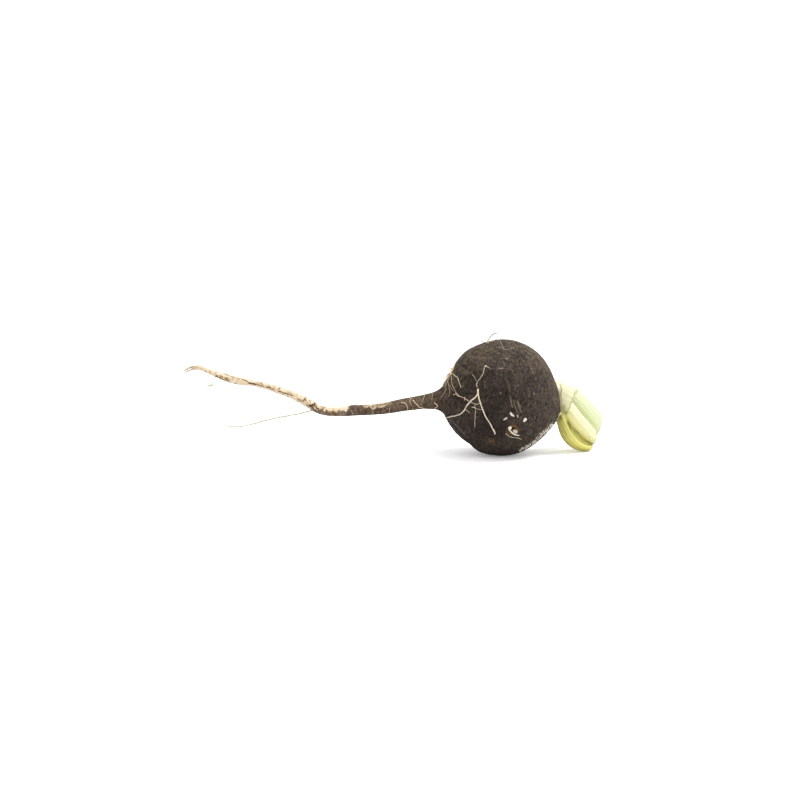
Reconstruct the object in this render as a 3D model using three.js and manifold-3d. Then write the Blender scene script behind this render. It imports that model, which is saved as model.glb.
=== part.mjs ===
// A round black radish lying on its side: the globe with its long crooked taproot, the leaf stalks
// cut short at the crown, and the fine side roots that are left on the skin.
// Millimetres, +Z up. The origin is the middle of the small flat that the globe lies on, +X points
// to the crown, and the taproot runs out towards -X.

import * as THREE from 'three';
import { mergeVertices } from 'three/addons/utils/BufferGeometryUtils.js';
import Module from 'manifold-3d';

const wasm = await Module();
wasm.setup();

// Driving dimensions
const GLOBE_RADIUS = 40;
const REST_FLAT_DEPTH = 0.6; // how much of the globe's underside is flattened where it lies
const CROWN_TURN = 17; // degrees that the crown turns from +X towards +Y
const CROWN_DIP = 5; // degrees that the crown points below level
const CROWN_EDGE_RADIUS = 14.5; // where the skin ends and the leaf bases begin
const GAP = 0.3; // clear space between the pieces that touch in the real plant
const SIDE_ROOT_THICK = 1.2; // a side root's diameter where it leaves the skin
const SIDE_ROOT_THIN = 0.8; // and at its broken end

// How finely the surfaces are divided
const ROOT_SIDES = 32;
const GLOBE_RING_TURN = 6.5; // degrees
const NECK_RING_STEP = 2.2;
const TAPROOT_RING_STEP = 7;
const STALK_SIDES = 20;
const STALK_RINGS = 14;
const SIDE_ROOT_SIDES = 6;
const SIDE_ROOT_STEP = 2.4;

const vector = (x, y, z) => new THREE.Vector3(x, y, z);
const radians = THREE.MathUtils.degToRad;

const UP = vector(0, 0, 1);
const GLOBE_CENTRE = vector(0, 0, GLOBE_RADIUS - REST_FLAT_DEPTH);
const CROWN_AXIS = vector(
  Math.cos(radians(CROWN_TURN)) * Math.cos(radians(CROWN_DIP)),
  Math.sin(radians(CROWN_TURN)) * Math.cos(radians(CROWN_DIP)),
  -Math.sin(radians(CROWN_DIP)),
);

// The root's centre line: straight through the globe, then along the bends of the taproot.
const CROWN_REACH = 42;
const NECK_SIDE = 19;
const TAPROOT_BENDS = [
  [-38.5, -10.9, 39.6],
  [-50, -13, 38.8],
  [-66, -15, 36.8],
  [-82, -17, 34.2],
  [-100, -18, 33.3],
  [-115, -18, 32.4],
  [-124, -17, 33.6],
  [-131, -16, 37.3],
  [-139, -14, 41.4],
  [-152, -11.5, 46],
  [-168, -9, 50.3],
  [-184, -8, 53],
  [-197, -8.5, 57.5],
  [-207, -9.5, 61.5],
  [-213, -10, 61.5],
  [-217.5, -11, 59.3],
];

// The root's radius by distance along the centre line from the middle of the globe. Up to
// GLOBE_ENDS it is the globe's own circle.
const GLOBE_ENDS = 30;
const NECK_ENDS = 50;
const TAPROOT_ENDS = 227;
const ROOT_RADII = [
  [26, 30.4],
  [30, 26.5],
  [33.5, 21.9],
  [36.5, 17.6],
  [38.8, 14],
  [41, 10.6],
  [44, 8],
  [48, 6.1],
  [53, 5.2],
  [61, 4.6],
  [72, 4.3],
  [86, 3.65],
  [108, 3.5],
  [113, 3.15],
  [124, 3],
  [134, 3],
  [142, 2.8],
  [160, 2.35],
  [175, 2.15],
  [184, 2.6],
  [192, 2.85],
  [198, 2.6],
  [204, 1.9],
  [212, 1.4],
  [220, 1.1],
  [227, 0.5],
];

// The low dome inside the ring of leaf bases: distance along the centre line, and radius.
const CROWN_DOME = [
  [-40.2, 4.5],
  [-39.7, 9],
  [-38.7, 12.6],
  [-37.7, 14],
];
const CROWN_DOME_TOP = -40.4;

// Where the globe departs from a ball: the direction in degrees above +X in the XZ plane, the
// height of the swelling or, below zero, of the flatter place, and its half-width in degrees.
const GLOBE_LOBES = [
  { towards: 146, height: -2.7, spread: 24 },
  { towards: 120, height: -0.5, spread: 20 },
  { towards: 86, height: 0.3, spread: 20 },
  { towards: 22, height: -1.9, spread: 24 },
  { towards: -14, height: 1.6, spread: 20 },
  { towards: -48, height: -1.2, spread: 22 },
  { towards: -146, height: 2.6, spread: 24 },
];
const LOBES_FADE_FROM = 40; // distance from the globe's centre where the lobes begin to fade
const LOBES_FADE_OVER = 6;

// --- Tables, lofts and solids -------------------------------------------------------------------

// Reads a table of [position, value] pairs along a smooth curve through them.
function smoothTable(table, position) {
  const last = table.length - 1;
  let k = 0;
  while (k < last - 1 && position > table[k + 1][0]) {
    k += 1;
  }
  const slope = (a, b) => (table[b][1] - table[a][1]) / (table[b][0] - table[a][0]);
  const span = table[k + 1][0] - table[k][0];
  const slopeIn = slope(Math.max(k - 1, 0), k + 1) * span;
  const slopeOut = slope(k, Math.min(k + 2, last)) * span;
  const t = THREE.MathUtils.clamp((position - table[k][0]) / span, 0, 1);
  const rise = table[k + 1][1] - table[k][1];
  const cubic = slopeIn + slopeOut - 2 * rise;
  const square = 3 * rise - 2 * slopeIn - slopeOut;
  return table[k][1] + t * (slopeIn + t * (square + t * cubic));
}

// Blends base, middle and tip values of a stalk at u from 0 to 1.
function baseToTip([base, middle, tip], u) {
  return smoothTable([[0, base], [0.5, middle], [1, tip]], u);
}

// A closed surface over rings of equal length, each counter-clockwise about the way they follow.
function loft(rings) {
  const sides = rings[0].length;
  const middleOf = (ring) => {
    const sum = ring.reduce((total, point) => total.add(point), vector(0, 0, 0));
    return sum.divideScalar(sides);
  };
  const points = [...rings.flat(), middleOf(rings[0]), middleOf(rings.at(-1))];
  const startMiddle = points.length - 2;
  const endMiddle = points.length - 1;
  const lastRing = (rings.length - 1) * sides;
  const triangles = [];
  for (let j = 0; j < sides; j += 1) {
    const next = (j + 1) % sides;
    triangles.push(startMiddle, next, j);
    triangles.push(endMiddle, lastRing + j, lastRing + next);
    for (let start = 0; start < lastRing; start += sides) {
      triangles.push(start + j, start + next, start + sides + j);
      triangles.push(start + next, start + sides + next, start + sides + j);
    }
  }
  const geometry = new THREE.BufferGeometry().setFromPoints(points);
  geometry.setIndex(triangles);
  return geometry;
}

// The same rings moved outwards, and on at both ends, by the given amount.
function grown(rings, amount) {
  const sides = rings[0].length;
  const last = rings.length - 1;
  return rings.map((ring, i) => ring.map((point, j) => {
    const before = rings[Math.max(i - 1, 0)][j];
    const after = rings[Math.min(i + 1, last)][j];
    const onwards = after.clone().sub(before).normalize();
    const around = ring[(j + 1) % sides].clone().sub(ring[(j + sides - 1) % sides]);
    const moved = point.clone().addScaledVector(around.cross(onwards).normalize(), amount);
    const endwards = (i === last ? 1 : 0) - (i === 0 ? 1 : 0);
    return moved.addScaledVector(onwards, endwards * amount);
  }));
}

function toSolid(geometry) {
  const bare = geometry.clone();
  bare.deleteAttribute('normal');
  bare.deleteAttribute('uv');
  const merged = mergeVertices(bare);
  return new wasm.Manifold(new wasm.Mesh({
    numProp: 3,
    vertProperties: Float32Array.from(merged.attributes.position.array),
    triVerts: Uint32Array.from(merged.index.array),
  }));
}

function toGeometry(solid) {
  const mesh = solid.getMesh();
  const geometry = new THREE.BufferGeometry();
  geometry.setAttribute('position', new THREE.BufferAttribute(mesh.vertProperties, 3));
  geometry.setIndex(new THREE.BufferAttribute(mesh.triVerts, 1));
  return geometry;
}

// Of the bodies that a cut leaves, the largest.
function largestBody(solid) {
  return solid.decompose().sort((a, b) => b.volume() - a.volume())[0];
}

// A box that takes away everything on the far side of a plane.
const CUTTER_SIZE = 400;
function cutter(pointOnPlane, away) {
  const box = new THREE.BoxGeometry(CUTTER_SIZE, CUTTER_SIZE, CUTTER_SIZE);
  const turn = new THREE.Quaternion().setFromUnitVectors(UP, away.clone().normalize());
  box.translate(0, 0, CUTTER_SIZE / 2);
  box.applyQuaternion(turn);
  box.translate(pointOnPlane.x, pointOnPlane.y, pointOnPlane.z);
  return toSolid(box);
}

const floorCutter = cutter(vector(0, 0, 0), vector(0, 0, -1));

// --- The root -----------------------------------------------------------------------------------

const alongCrown = (distance) => GLOBE_CENTRE.clone().addScaledVector(CROWN_AXIS, distance);

const spine = new THREE.CatmullRomCurve3([
  alongCrown(CROWN_REACH),
  alongCrown(CROWN_REACH / 2),
  alongCrown(0),
  alongCrown(-NECK_SIDE),
  ...TAPROOT_BENDS.map((bend) => vector(...bend)),
], false, 'catmullrom', 0.5);
spine.arcLengthDivisions = 2000;

// The root's centre line at a distance from the middle of the globe, with the directions that
// point up and to the far side there.
function spineAt(along) {
  const u = THREE.MathUtils.clamp((along + CROWN_REACH) / spine.getLength(), 0, 1);
  const tangent = spine.getTangentAt(u);
  const upwards = UP.clone().addScaledVector(tangent, -UP.dot(tangent)).normalize();
  const sideways = tangent.clone().cross(upwards);
  return { centre: spine.getPointAt(u), upwards, sideways };
}

function rootRadius(along) {
  if (along < GLOBE_ENDS) {
    return Math.sqrt(GLOBE_RADIUS ** 2 - along ** 2);
  }
  return smoothTable(ROOT_RADII, along);
}

// Moves a point near the globe by the globe's swellings and flatter places.
function shapeGlobe(point) {
  const fromCentre = point.clone().sub(GLOBE_CENTRE);
  const distance = fromCentre.length();
  const direction = fromCentre.normalize();
  let height = 0;
  for (const lobe of GLOBE_LOBES) {
    const turn = radians(lobe.towards);
    const angle = direction.angleTo(vector(Math.cos(turn), 0, Math.sin(turn)));
    height += lobe.height * Math.exp(-((angle / radians(lobe.spread)) ** 2));
  }
  const fade = 1 - THREE.MathUtils.clamp((distance - LOBES_FADE_FROM) / LOBES_FADE_OVER, 0, 1);
  return point.addScaledVector(direction, height * fade);
}

// A point at a distance along the centre line, turned around it from the top (0) towards the far
// side (90), at a given distance from it.
function aroundSpine(along, around, reach) {
  const { centre, upwards, sideways } = spineAt(along);
  const turn = radians(around);
  const point = centre.addScaledVector(upwards, reach * Math.cos(turn));
  return shapeGlobe(point.addScaledVector(sideways, reach * Math.sin(turn)));
}

// A point on the skin, or at a height above it.
const PROBE = 0.5; // millimetres and degrees between the points that give the skin's slope
function onSkin(along, around, lift = 0) {
  const point = aroundSpine(along, around, rootRadius(along));
  const ahead = aroundSpine(along + PROBE, around, rootRadius(along + PROBE)).sub(point);
  const beside = aroundSpine(along, around + PROBE, rootRadius(along)).sub(point);
  return point.addScaledVector(beside.cross(ahead).normalize(), lift);
}

// The stations of the root's rings: [distance along, radius].
function rootStations() {
  const stations = [...CROWN_DOME];
  const firstTurn = Math.asin(CROWN_EDGE_RADIUS / GLOBE_RADIUS);
  const lastTurn = Math.acos(-GLOBE_ENDS / GLOBE_RADIUS);
  const globeRings = Math.round((lastTurn - firstTurn) / radians(GLOBE_RING_TURN));
  for (let k = 0; k < globeRings; k += 1) {
    const turn = firstTurn + (lastTurn - firstTurn) * (k / globeRings);
    stations.push([-GLOBE_RADIUS * Math.cos(turn), GLOBE_RADIUS * Math.sin(turn)]);
  }
  for (let along = GLOBE_ENDS; along < NECK_ENDS; along += NECK_RING_STEP) {
    stations.push([along, rootRadius(along)]);
  }
  for (let along = NECK_ENDS; along < TAPROOT_ENDS; along += TAPROOT_RING_STEP) {
    stations.push([along, rootRadius(along)]);
  }
  stations.push([TAPROOT_ENDS, rootRadius(TAPROOT_ENDS)]);
  return stations;
}

function rootRings() {
  return [[CROWN_DOME_TOP, 1], ...rootStations()].map(([along, reach]) => {
    const ring = [];
    for (let j = 0; j < ROOT_SIDES; j += 1) {
      ring.push(aroundSpine(along, (360 * j) / ROOT_SIDES, reach));
    }
    return ring;
  });
}

const rootCore = toSolid(loft(rootRings()));
const rootWithGap = toSolid(loft(grown(rootRings(), GAP)));

// --- Side roots ---------------------------------------------------------------------------------

// One unbranched side root through the given points, tapering to its end.
function rootlet(points, startDiameter = SIDE_ROOT_THICK, endDiameter = SIDE_ROOT_THIN) {
  const path = new THREE.CatmullRomCurve3(points, false, 'centripetal');
  const steps = Math.max(3, Math.round(path.getLength() / SIDE_ROOT_STEP));
  const frames = path.computeFrenetFrames(steps);
  const rings = [];
  for (let i = 0; i <= steps; i += 1) {
    const reach = THREE.MathUtils.lerp(startDiameter, endDiameter, i / steps) / 2;
    const centre = path.getPointAt(i / steps);
    const ring = [];
    for (let j = 0; j < SIDE_ROOT_SIDES; j += 1) {
      const turn = (2 * Math.PI * j) / SIDE_ROOT_SIDES;
      const point = centre.clone().addScaledVector(frames.normals[i], reach * Math.cos(turn));
      ring.push(point.addScaledVector(frames.binormals[i], reach * Math.sin(turn)));
    }
    rings.push(ring);
  }
  return toSolid(loft(rings));
}

// A side root that lies on the skin, from [along, around] pairs; a third number lifts a point.
function skinRootlet(places, startDiameter, endDiameter) {
  const clear = GAP + SIDE_ROOT_THICK / 2;
  const points = places.map(([along, around, lift = 0]) => onSkin(along, around, clear + lift));
  return rootlet(points, startDiameter, endDiameter);
}

function joined(solids) {
  return solids.reduce((whole, solid) => whole.add(solid));
}

// The forked side root on the face of the globe, with its cross strands.
function forkedSideRoot() {
  return joined([
    skinRootlet([[25.9, -72.6], [26.2, -78], [27.8, -82.6], [30.5, -87.8], [32.2, -94],
      [33.4, -102], [35, -111.5], [36.7, -121], [39, -139], [40.1, -164]], 1.6, 0.9),
    skinRootlet([[26.2, -78], [25.8, -86.5], [24.2, -97.5], [22.2, -107], [18.2, -116],
      [14.2, -125.2]], 1.4, 1.1),
    skinRootlet([[30.8, -88], [28.9, -91], [27.4, -92], [25.7, -90]], 1, 0.9),
    skinRootlet([[29, -97], [27, -98], [24.6, -98]], 0.9, 0.8),
    skinRootlet([[36.9, -69.5], [35.8, -76], [34.1, -80.4], [32.6, -84], [31, -88]], 1, 1),
    skinRootlet([[28.4, -91.2], [28.3, -101], [28.4, -109], [28.5, -116], [27.9, -128]], 1, 0.8),
  ]);
}

function upperSideRoot() {
  return joined([
    skinRootlet([[26.4, -68.8], [25.9, -64], [24.4, -61], [22.3, -56], [21.2, -50.4], [20.1, -47],
      [19.1, -50], [17.9, -51.4]], 1, 0.8),
    skinRootlet([[25.7, -63.6], [26.7, -55], [27.5, -48]], 0.9, 0.7),
  ]);
}

// The tuft of fine roots where the globe runs into the neck.
function neckSideRoots() {
  const strands = [
    [[36, -6], [35.4, -26], [34.4, -39], [34.4, -50], [34, -62]],
    [[36.5, -6], [37.3, -24], [37.8, -42], [37.2, -58], [37.1, -64]],
    [[38, 2], [39.4, -14], [39.7, -36], [39.9, -58], [40.9, -72]],
    [[38, 8], [41, -10], [42, -40], [43.8, -56], [45.2, -69]],
    [[36, 12], [37.4, 24, 0.5], [39.6, 34, 0.5], [41.4, 20, 0.2]],
  ];
  const rootStock = skinRootlet([[32.6, 30, 0.2], [34, 14, 0.3], [35, 2, 0.3], [36.2, -3]], 1.6, 1.2);
  const tuft = strands.map((strand) => skinRootlet([[35.6, 1], ...strand], 1, 0.8));
  return joined([rootStock, ...tuft]);
}

function topSideRoot() {
  return joined([
    skinRootlet([[14.6, -8], [12.6, 3, 0.6], [10, 8, 2.6], [7.4, 9, 4], [4.6, 9, 4.6]]),
    skinRootlet([[14.8, -6], [13, -6, 0.4], [11.4, -7, 1]], 1, 0.8),
    skinRootlet([[14.4, -6], [15.2, 5, 0.8], [15.2, 12, 1.4]], 1, 0.8),
  ]);
}

function shoulderSideRoot() {
  return joined([
    skinRootlet([[7.4, 8], [8, -4], [8.3, -13], [8.9, -20], [9.2, -25.6]], 0.9, 0.9),
    skinRootlet([[12.8, -22.6], [11, -22.8], [9.6, -25.4], [9.2, -28], [6.6, -28.6], [4.2, -26.4],
      [1.2, -24.6]], 0.9, 0.8),
  ]);
}

function curledSideRoot() {
  return joined([
    skinRootlet([[6.4, -112.8, 0.2], [5.8, -113.6, 0.4], [5.2, -114.4, 0.4]], 2.2, 2.1),
    skinRootlet([[6.6, -113.6, 0.5], [6.3, -115, 0.6], [5.2, -116.6, 0.6], [3.6, -118.5, 0.5],
      [1.6, -120.3, 0.4], [-0.6, -121.3, 0.2], [-1.9, -121.3, 0.1]], 1.1, 0.8),
    skinRootlet([[6.9, -115.4], [7.7, -118.6], [7.3, -121.2], [6, -122.6], [4.4, -123.8],
      [1.6, -124.8], [-1, -125], [-4.8, -127.2]], 0.8, 0.7),
  ]);
}

function trailingSideRoot() {
  return rootlet([
    onSkin(131, 180, GAP + 0.5),
    vector(-138, -17.5, 30.8),
    vector(-153, -18, 28.2),
    vector(-168, -17.5, 24.4),
    vector(-180, -17, 21.6),
    vector(-189, -16, 22.4),
  ], 1, SIDE_ROOT_THIN);
}

function tipSideRoot() {
  return rootlet([
    onSkin(203, -150, GAP + 0.5),
    vector(-197, -12, 52),
    vector(-198.2, -13, 50.2),
    vector(-201, -13.3, 49.8),
  ], 1, 1.2);
}

// The root's own solid: globe, neck and taproot, with the strands that its tip frays into.
function rootBody() {
  const strandFrom = spineAt(212).centre;
  const frayed = [
    [strandFrom, vector(-212.5, -9, 59.5), vector(-217, -8.5, 57.2)],
    [strandFrom, vector(-209.4, -11.4, 62.2), vector(-212.8, -12, 61.9), vector(-214.7, -12.4, 60.2)],
  ];
  const strands = frayed.map((points) => rootlet(points, 1.8, SIDE_ROOT_THIN));
  return joined([rootCore, ...strands]).subtract(floorCutter);
}

// --- Leaf stalks --------------------------------------------------------------------------------

// Each stalk has a path of its middle, the direction that its channelled inner side faces (and, if
// it twists, faces at its tip), and [base, middle, tip] values of its width, thickness and the depth
// of its channel's bow. Some are cut off along a slant, through the point `at` and square to `away`.
// Outer stalks come first.
const STALKS = {
  leaf_stalk_floor: {
    path: [[36, 4.5, 33], [42, 3, 29.8], [45.8, 4, 22.6], [48.8, 6, 16], [53, 9, 10.6],
      [57.8, 12, 7.8], [62.4, 14.5, 7], [68, 16.5, 6.6]],
    faces: [0.72, -0.36, 0.6],
    tipFaces: [0.45, -0.15, 0.88],
    width: [11, 16, 14],
    thickness: [4, 5.2, 4.2],
    bow: [3, 5.9, 4.4],
    cut: { at: [65.6, 14, 6.2], away: [0.9, 0, -0.43] },
    colour: 0xc7c16d,
  },
  leaf_stalk_short: {
    path: [[34, 2, 41.4], [42, 1.2, 38.4], [54, 3, 33.6]],
    faces: [0.15, 0.95, 0.1],
    width: [22, 21, 17],
    thickness: [4.6, 4.6, 4],
    bow: [3, 2.6, 2.2],
    cut: { at: [48.2, 3, 36.2], away: [0.93, 0, -0.37] },
    colour: 0xf3f1c6,
  },
  leaf_stalk_stub: {
    path: [[29, 19.5, 42.5], [38, 23, 42], [48, 28, 39.5]],
    faces: [0.2, -0.9, -0.35],
    width: [15, 13, 10],
    thickness: [4.6, 4.4, 3.8],
    bow: [2.4, 2, 1.6],
    cut: { at: [43.4, 26, 41], away: [0.75, 0.1, 0.65] },
    colour: 0xeeeebf,
  },
  leaf_stalk_middle: {
    path: [[36, 9, 37], [45, 8.5, 32.6], [51, 10.5, 25], [56.8, 13, 18.5], [61.8, 15.2, 12.6],
      [69.2, 17.4, 6.6]],
    faces: [0.3, 0.8, 0.4],
    width: [9.6, 11.6, 9.8],
    thickness: [4.8, 5.8, 4.6],
    bow: [1.2, 2.2, 1.6],
    cut: { at: [66.4, 16, 9.8], away: [0.97, 0, -0.24] },
    colour: 0xf3f2c7,
  },
  leaf_stalk_back: {
    path: [[34, 15, 41], [44, 15.5, 41], [53, 17, 36], [61, 21.5, 27], [70, 27, 16], [74, 29, 11]],
    faces: [0.2, 0.9, 0.35],
    width: [11, 15, 16],
    thickness: [4.6, 5, 4.4],
    bow: [1.6, 2.2, 2],
    cut: { at: [71, 26, 19.2], away: [0.96, 0, -0.27] },
    colour: 0xdce8b0,
  },
  leaf_stalk_inner: {
    path: [[35, 12.5, 35], [43, 13, 31], [48, 16, 23], [53, 19, 15], [57.5, 21, 9.5]],
    faces: [0.4, -0.5, 0.7],
    width: [6, 7, 6],
    thickness: [4.4, 4.6, 4],
    bow: [0.8, 1, 0.8],
    colour: 0xe0e6a6,
  },
  leaf_stalk_far: {
    path: [[31, 20.5, 33], [39, 24, 32], [46, 28, 26], [52, 32, 18.5], [57, 35, 12]],
    faces: [0.5, -0.5, 0.6],
    width: [11, 11, 10],
    thickness: [4.4, 4.6, 4],
    bow: [2.2, 3, 2.6],
    colour: 0xe4e9b8,
  },
  heart_stalk: {
    path: [[36, 9.5, 43], [44, 9.8, 43.8], [53, 11, 43]],
    faces: [0.1, -0.6, 0.8],
    width: [6, 5.4, 3.6],
    thickness: [4.6, 4.4, 3.2],
    bow: [0.4, 0.4, 0.3],
    colour: 0xcfd37c,
  },
  heart_leaf: {
    path: [[34, 13.5, 45], [40, 15, 46.4], [44.5, 16.5, 46]],
    faces: [0.2, -0.4, -0.9],
    width: [9, 8, 5],
    thickness: [3.6, 3.4, 2.8],
    bow: [1.4, 1.4, 1],
    colour: 0xd9dd94,
  },
};

function stalkRings(stalk) {
  const path = new THREE.CatmullRomCurve3(stalk.path.map((p) => vector(...p)), false, 'centripetal');
  const baseFaces = vector(...stalk.faces);
  const tipFaces = vector(...(stalk.tipFaces ?? stalk.faces));
  const rings = [];
  for (let i = 0; i <= STALK_RINGS; i += 1) {
    const u = i / STALK_RINGS;
    const tangent = path.getTangentAt(u);
    const across = baseFaces.clone().lerp(tipFaces, u).cross(tangent).normalize();
    const inwards = tangent.clone().cross(across);
    const halfWidth = baseToTip(stalk.width, u) / 2;
    const halfThickness = baseToTip(stalk.thickness, u) / 2;
    const bow = baseToTip(stalk.bow, u);
    const middle = path.getPointAt(u);
    const ring = [];
    for (let j = 0; j < STALK_SIDES; j += 1) {
      const turn = (2 * Math.PI * j) / STALK_SIDES;
      const depth = halfThickness * Math.sin(turn) - bow * Math.sin(turn) ** 2;
      const point = middle.clone().addScaledVector(across, halfWidth * Math.cos(turn));
      ring.push(point.addScaledVector(inwards, depth));
    }
    rings.push(ring);
  }
  return rings;
}

// Every stalk stops at the crown and at the stalks outside it, a gap away.
function leafStalks() {
  const finished = {};
  let taken = rootWithGap.add(floorCutter);
  for (const [name, stalk] of Object.entries(STALKS)) {
    const rings = stalkRings(stalk);
    let solid = toSolid(loft(rings));
    let room = toSolid(loft(grown(rings, GAP)));
    if (stalk.cut) {
      const at = vector(...stalk.cut.at);
      const away = vector(...stalk.cut.away).normalize();
      solid = solid.subtract(cutter(at, away));
      room = room.subtract(cutter(at.addScaledVector(away, GAP), away));
    }
    finished[name] = largestBody(solid.subtract(taken));
    taken = taken.add(room);
  }
  return finished;
}

// --- The whole radish ---------------------------------------------------------------------------

const radish = new THREE.Group();

function addPiece(name, solid, colour, roughness) {
  const material = new THREE.MeshStandardMaterial({ color: colour, roughness, metalness: 0 });
  const mesh = new THREE.Mesh(toGeometry(solid), material);
  mesh.name = name;
  radish.add(mesh);
}

addPiece('root_body', rootBody(), 0x4a4039, 0.7);

for (const [name, solid] of Object.entries(leafStalks())) {
  addPiece(name, solid, STALKS[name].colour, 0.45);
}

const SIDE_ROOT_COLOUR = 0xd8c49c;
const SIDE_ROOTS = {
  side_root_fork: forkedSideRoot(),
  side_root_upper: upperSideRoot(),
  side_root_neck: neckSideRoots(),
  side_root_top: topSideRoot(),
  side_root_shoulder: shoulderSideRoot(),
  side_root_curled: curledSideRoot(),
  side_root_trailing: trailingSideRoot(),
  side_root_tip: tipSideRoot(),
};
for (const [name, solid] of Object.entries(SIDE_ROOTS)) {
  addPiece(name, largestBody(solid.subtract(rootWithGap)), SIDE_ROOT_COLOUR, 0.8);
}

export default radish;
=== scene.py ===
"""A round black radish on its side: globe, long crooked taproot, cut leaf stalks and side roots."""
import itertools
import math

import bpy
import numpy as np
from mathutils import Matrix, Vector


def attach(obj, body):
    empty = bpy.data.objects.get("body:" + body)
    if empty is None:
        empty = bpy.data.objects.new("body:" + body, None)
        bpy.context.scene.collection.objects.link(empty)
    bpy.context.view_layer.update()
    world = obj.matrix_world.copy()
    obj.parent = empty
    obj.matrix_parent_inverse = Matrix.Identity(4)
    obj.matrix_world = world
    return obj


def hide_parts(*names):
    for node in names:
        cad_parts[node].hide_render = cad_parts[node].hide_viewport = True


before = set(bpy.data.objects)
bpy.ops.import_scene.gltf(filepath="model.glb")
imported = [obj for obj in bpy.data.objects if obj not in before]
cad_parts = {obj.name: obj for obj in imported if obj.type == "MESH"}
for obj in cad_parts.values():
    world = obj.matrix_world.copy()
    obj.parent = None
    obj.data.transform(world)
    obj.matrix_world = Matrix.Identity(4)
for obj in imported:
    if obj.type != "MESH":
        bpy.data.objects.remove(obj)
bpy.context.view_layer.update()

MM = 0.001  # shapes are worked out in millimetres and written in metres

# Camera and light
LENS_MM = 85
SENSOR_MM = 36
CAMERA_DISTANCE = 1.3
CAMERA_ELEVATION = 7.5  # degrees above level, looking along +Y
LOOK_AT = Vector((-0.070, 0, 0.0379))
FLOOR_SIZE = 14.0
FLOOR_TONE = 0.74
FLOOR_SEEN_TONE = 1.25  # how light the studio floor looks to the camera near the radish
FLOOR_LIFT = 0.20  # how much it glows for the camera
FLOOR_LIFT_FAR = 0.40  # and where the lights no longer reach
FLOOR_NEAR_ENDS = 0.14  # distance from the middle where the near floor starts to fade
FLOOR_FAR_STARTS = 0.50  # and where it has faded
SKY_LIGHT = 0.88
SKY_SEEN = 1.05  # how light the backdrop looks to the camera
LIGHTS_AIM = Vector((0, 0, 0.03))
LIGHTS = {
    "overhead": {"location": (0.56, 0.08, 0.86), "size": 0.6, "power": 7.8},
    "front": {"location": (0.65, -0.85, 0.55), "size": 0.8, "power": 2.5},
}

# The root, as in the frame
GLOBE_RADIUS = 40.0
REST_FLAT_DEPTH = 0.6
GLOBE_CENTRE = np.array([0.0, 0.0, GLOBE_RADIUS - REST_FLAT_DEPTH])
CROWN_TURN = math.radians(17)
CROWN_DIP = math.radians(5)
CROWN_AXIS = np.array([
    math.cos(CROWN_TURN) * math.cos(CROWN_DIP),
    math.sin(CROWN_TURN) * math.cos(CROWN_DIP),
    -math.sin(CROWN_DIP),
])
CROWN_REACH = 42.0
CROWN_EDGE_RADIUS = 14.5
NECK_SIDE = 19.0
TAPROOT_BENDS = [
    (-38.5, -10.9, 39.6), (-50, -13, 38.8), (-66, -15, 36.8), (-82, -17, 34.2),
    (-100, -18, 33.3), (-115, -18, 32.4), (-124, -17, 33.6), (-131, -16, 37.3),
    (-139, -14, 41.4), (-152, -11.5, 46), (-168, -9, 50.3), (-184, -8, 53),
    (-197, -8.5, 57.5), (-207, -9.5, 61.5), (-213, -10, 61.5), (-217.5, -11, 59.3),
]
GLOBE_ENDS = 30.0
ROOT_RADII = [
    (26, 30.4), (30, 26.5), (33.5, 21.9), (36.5, 17.6), (38.8, 14), (41, 10.6), (44, 8),
    (48, 6.1), (53, 5.2), (61, 4.6), (72, 4.3), (86, 3.65), (108, 3.5), (113, 3.15),
    (124, 3), (134, 3), (142, 2.8), (160, 2.35), (175, 2.15), (184, 2.6), (192, 2.85),
    (198, 2.6), (204, 1.9), (212, 1.4), (220, 1.1), (227, 0.5),
]
CROWN_DOME = [(-40.4, 0.3), (-40.2, 4.5), (-39.7, 9), (-38.7, 12.6), (-37.7, 14)]
CROWN_SHOULDER = (-37.3, 14.4)
GLOBE_LOBES = [  # degrees above +X in the XZ plane, height, half-width in degrees
    (146, -2.7, 24), (120, -0.5, 20), (86, 0.3, 20), (22, -1.9, 24), (-14, 1.6, 20),
    (-48, -1.2, 22), (-146, 2.6, 24),
]
LOBES_FADE_FROM = 40.0
LOBES_FADE_OVER = 6.0


# --- Numbers ------------------------------------------------------------------------------------

LATTICE_SIZE = 64
LATTICE = np.random.default_rng(11).random((LATTICE_SIZE,) * 3)


def noise(points, size, seed=0):
    """Smooth noise from -1 to 1 whose bumps are about `size` across."""
    places = np.asarray(points, float) / size + 17.31 * seed
    cells = np.floor(places).astype(int)
    part = places - cells
    part = part * part * (3 - 2 * part)
    total = np.zeros(places.shape[:-1])
    for corner in itertools.product((0, 1), repeat=3):
        weight = np.prod(np.where(corner, part, 1 - part), axis=-1)
        x, y, z = np.moveaxis((cells + corner) % LATTICE_SIZE, -1, 0)
        total += weight * LATTICE[x, y, z]
    return 2 * total - 1


def rough(points, size, octaves=3, seed=0):
    """Noise with finer noise on top of it."""
    layers = [noise(points, size / 2 ** k, seed + 3 * k) / 2 ** k for k in range(octaves)]
    return sum(layers) / 1.6


def ridges(points, size, seed=0):
    """Narrow raised lines, from 0 to 1."""
    return 1 - np.abs(noise(points, size, seed)) * 2


def step(low, high, value):
    """0 below low, 1 above high and smooth between; high may be the lower of the two."""
    t = np.clip((np.asarray(value, float) - low) / (high - low), 0, 1)
    return t * t * (3 - 2 * t)


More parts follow.
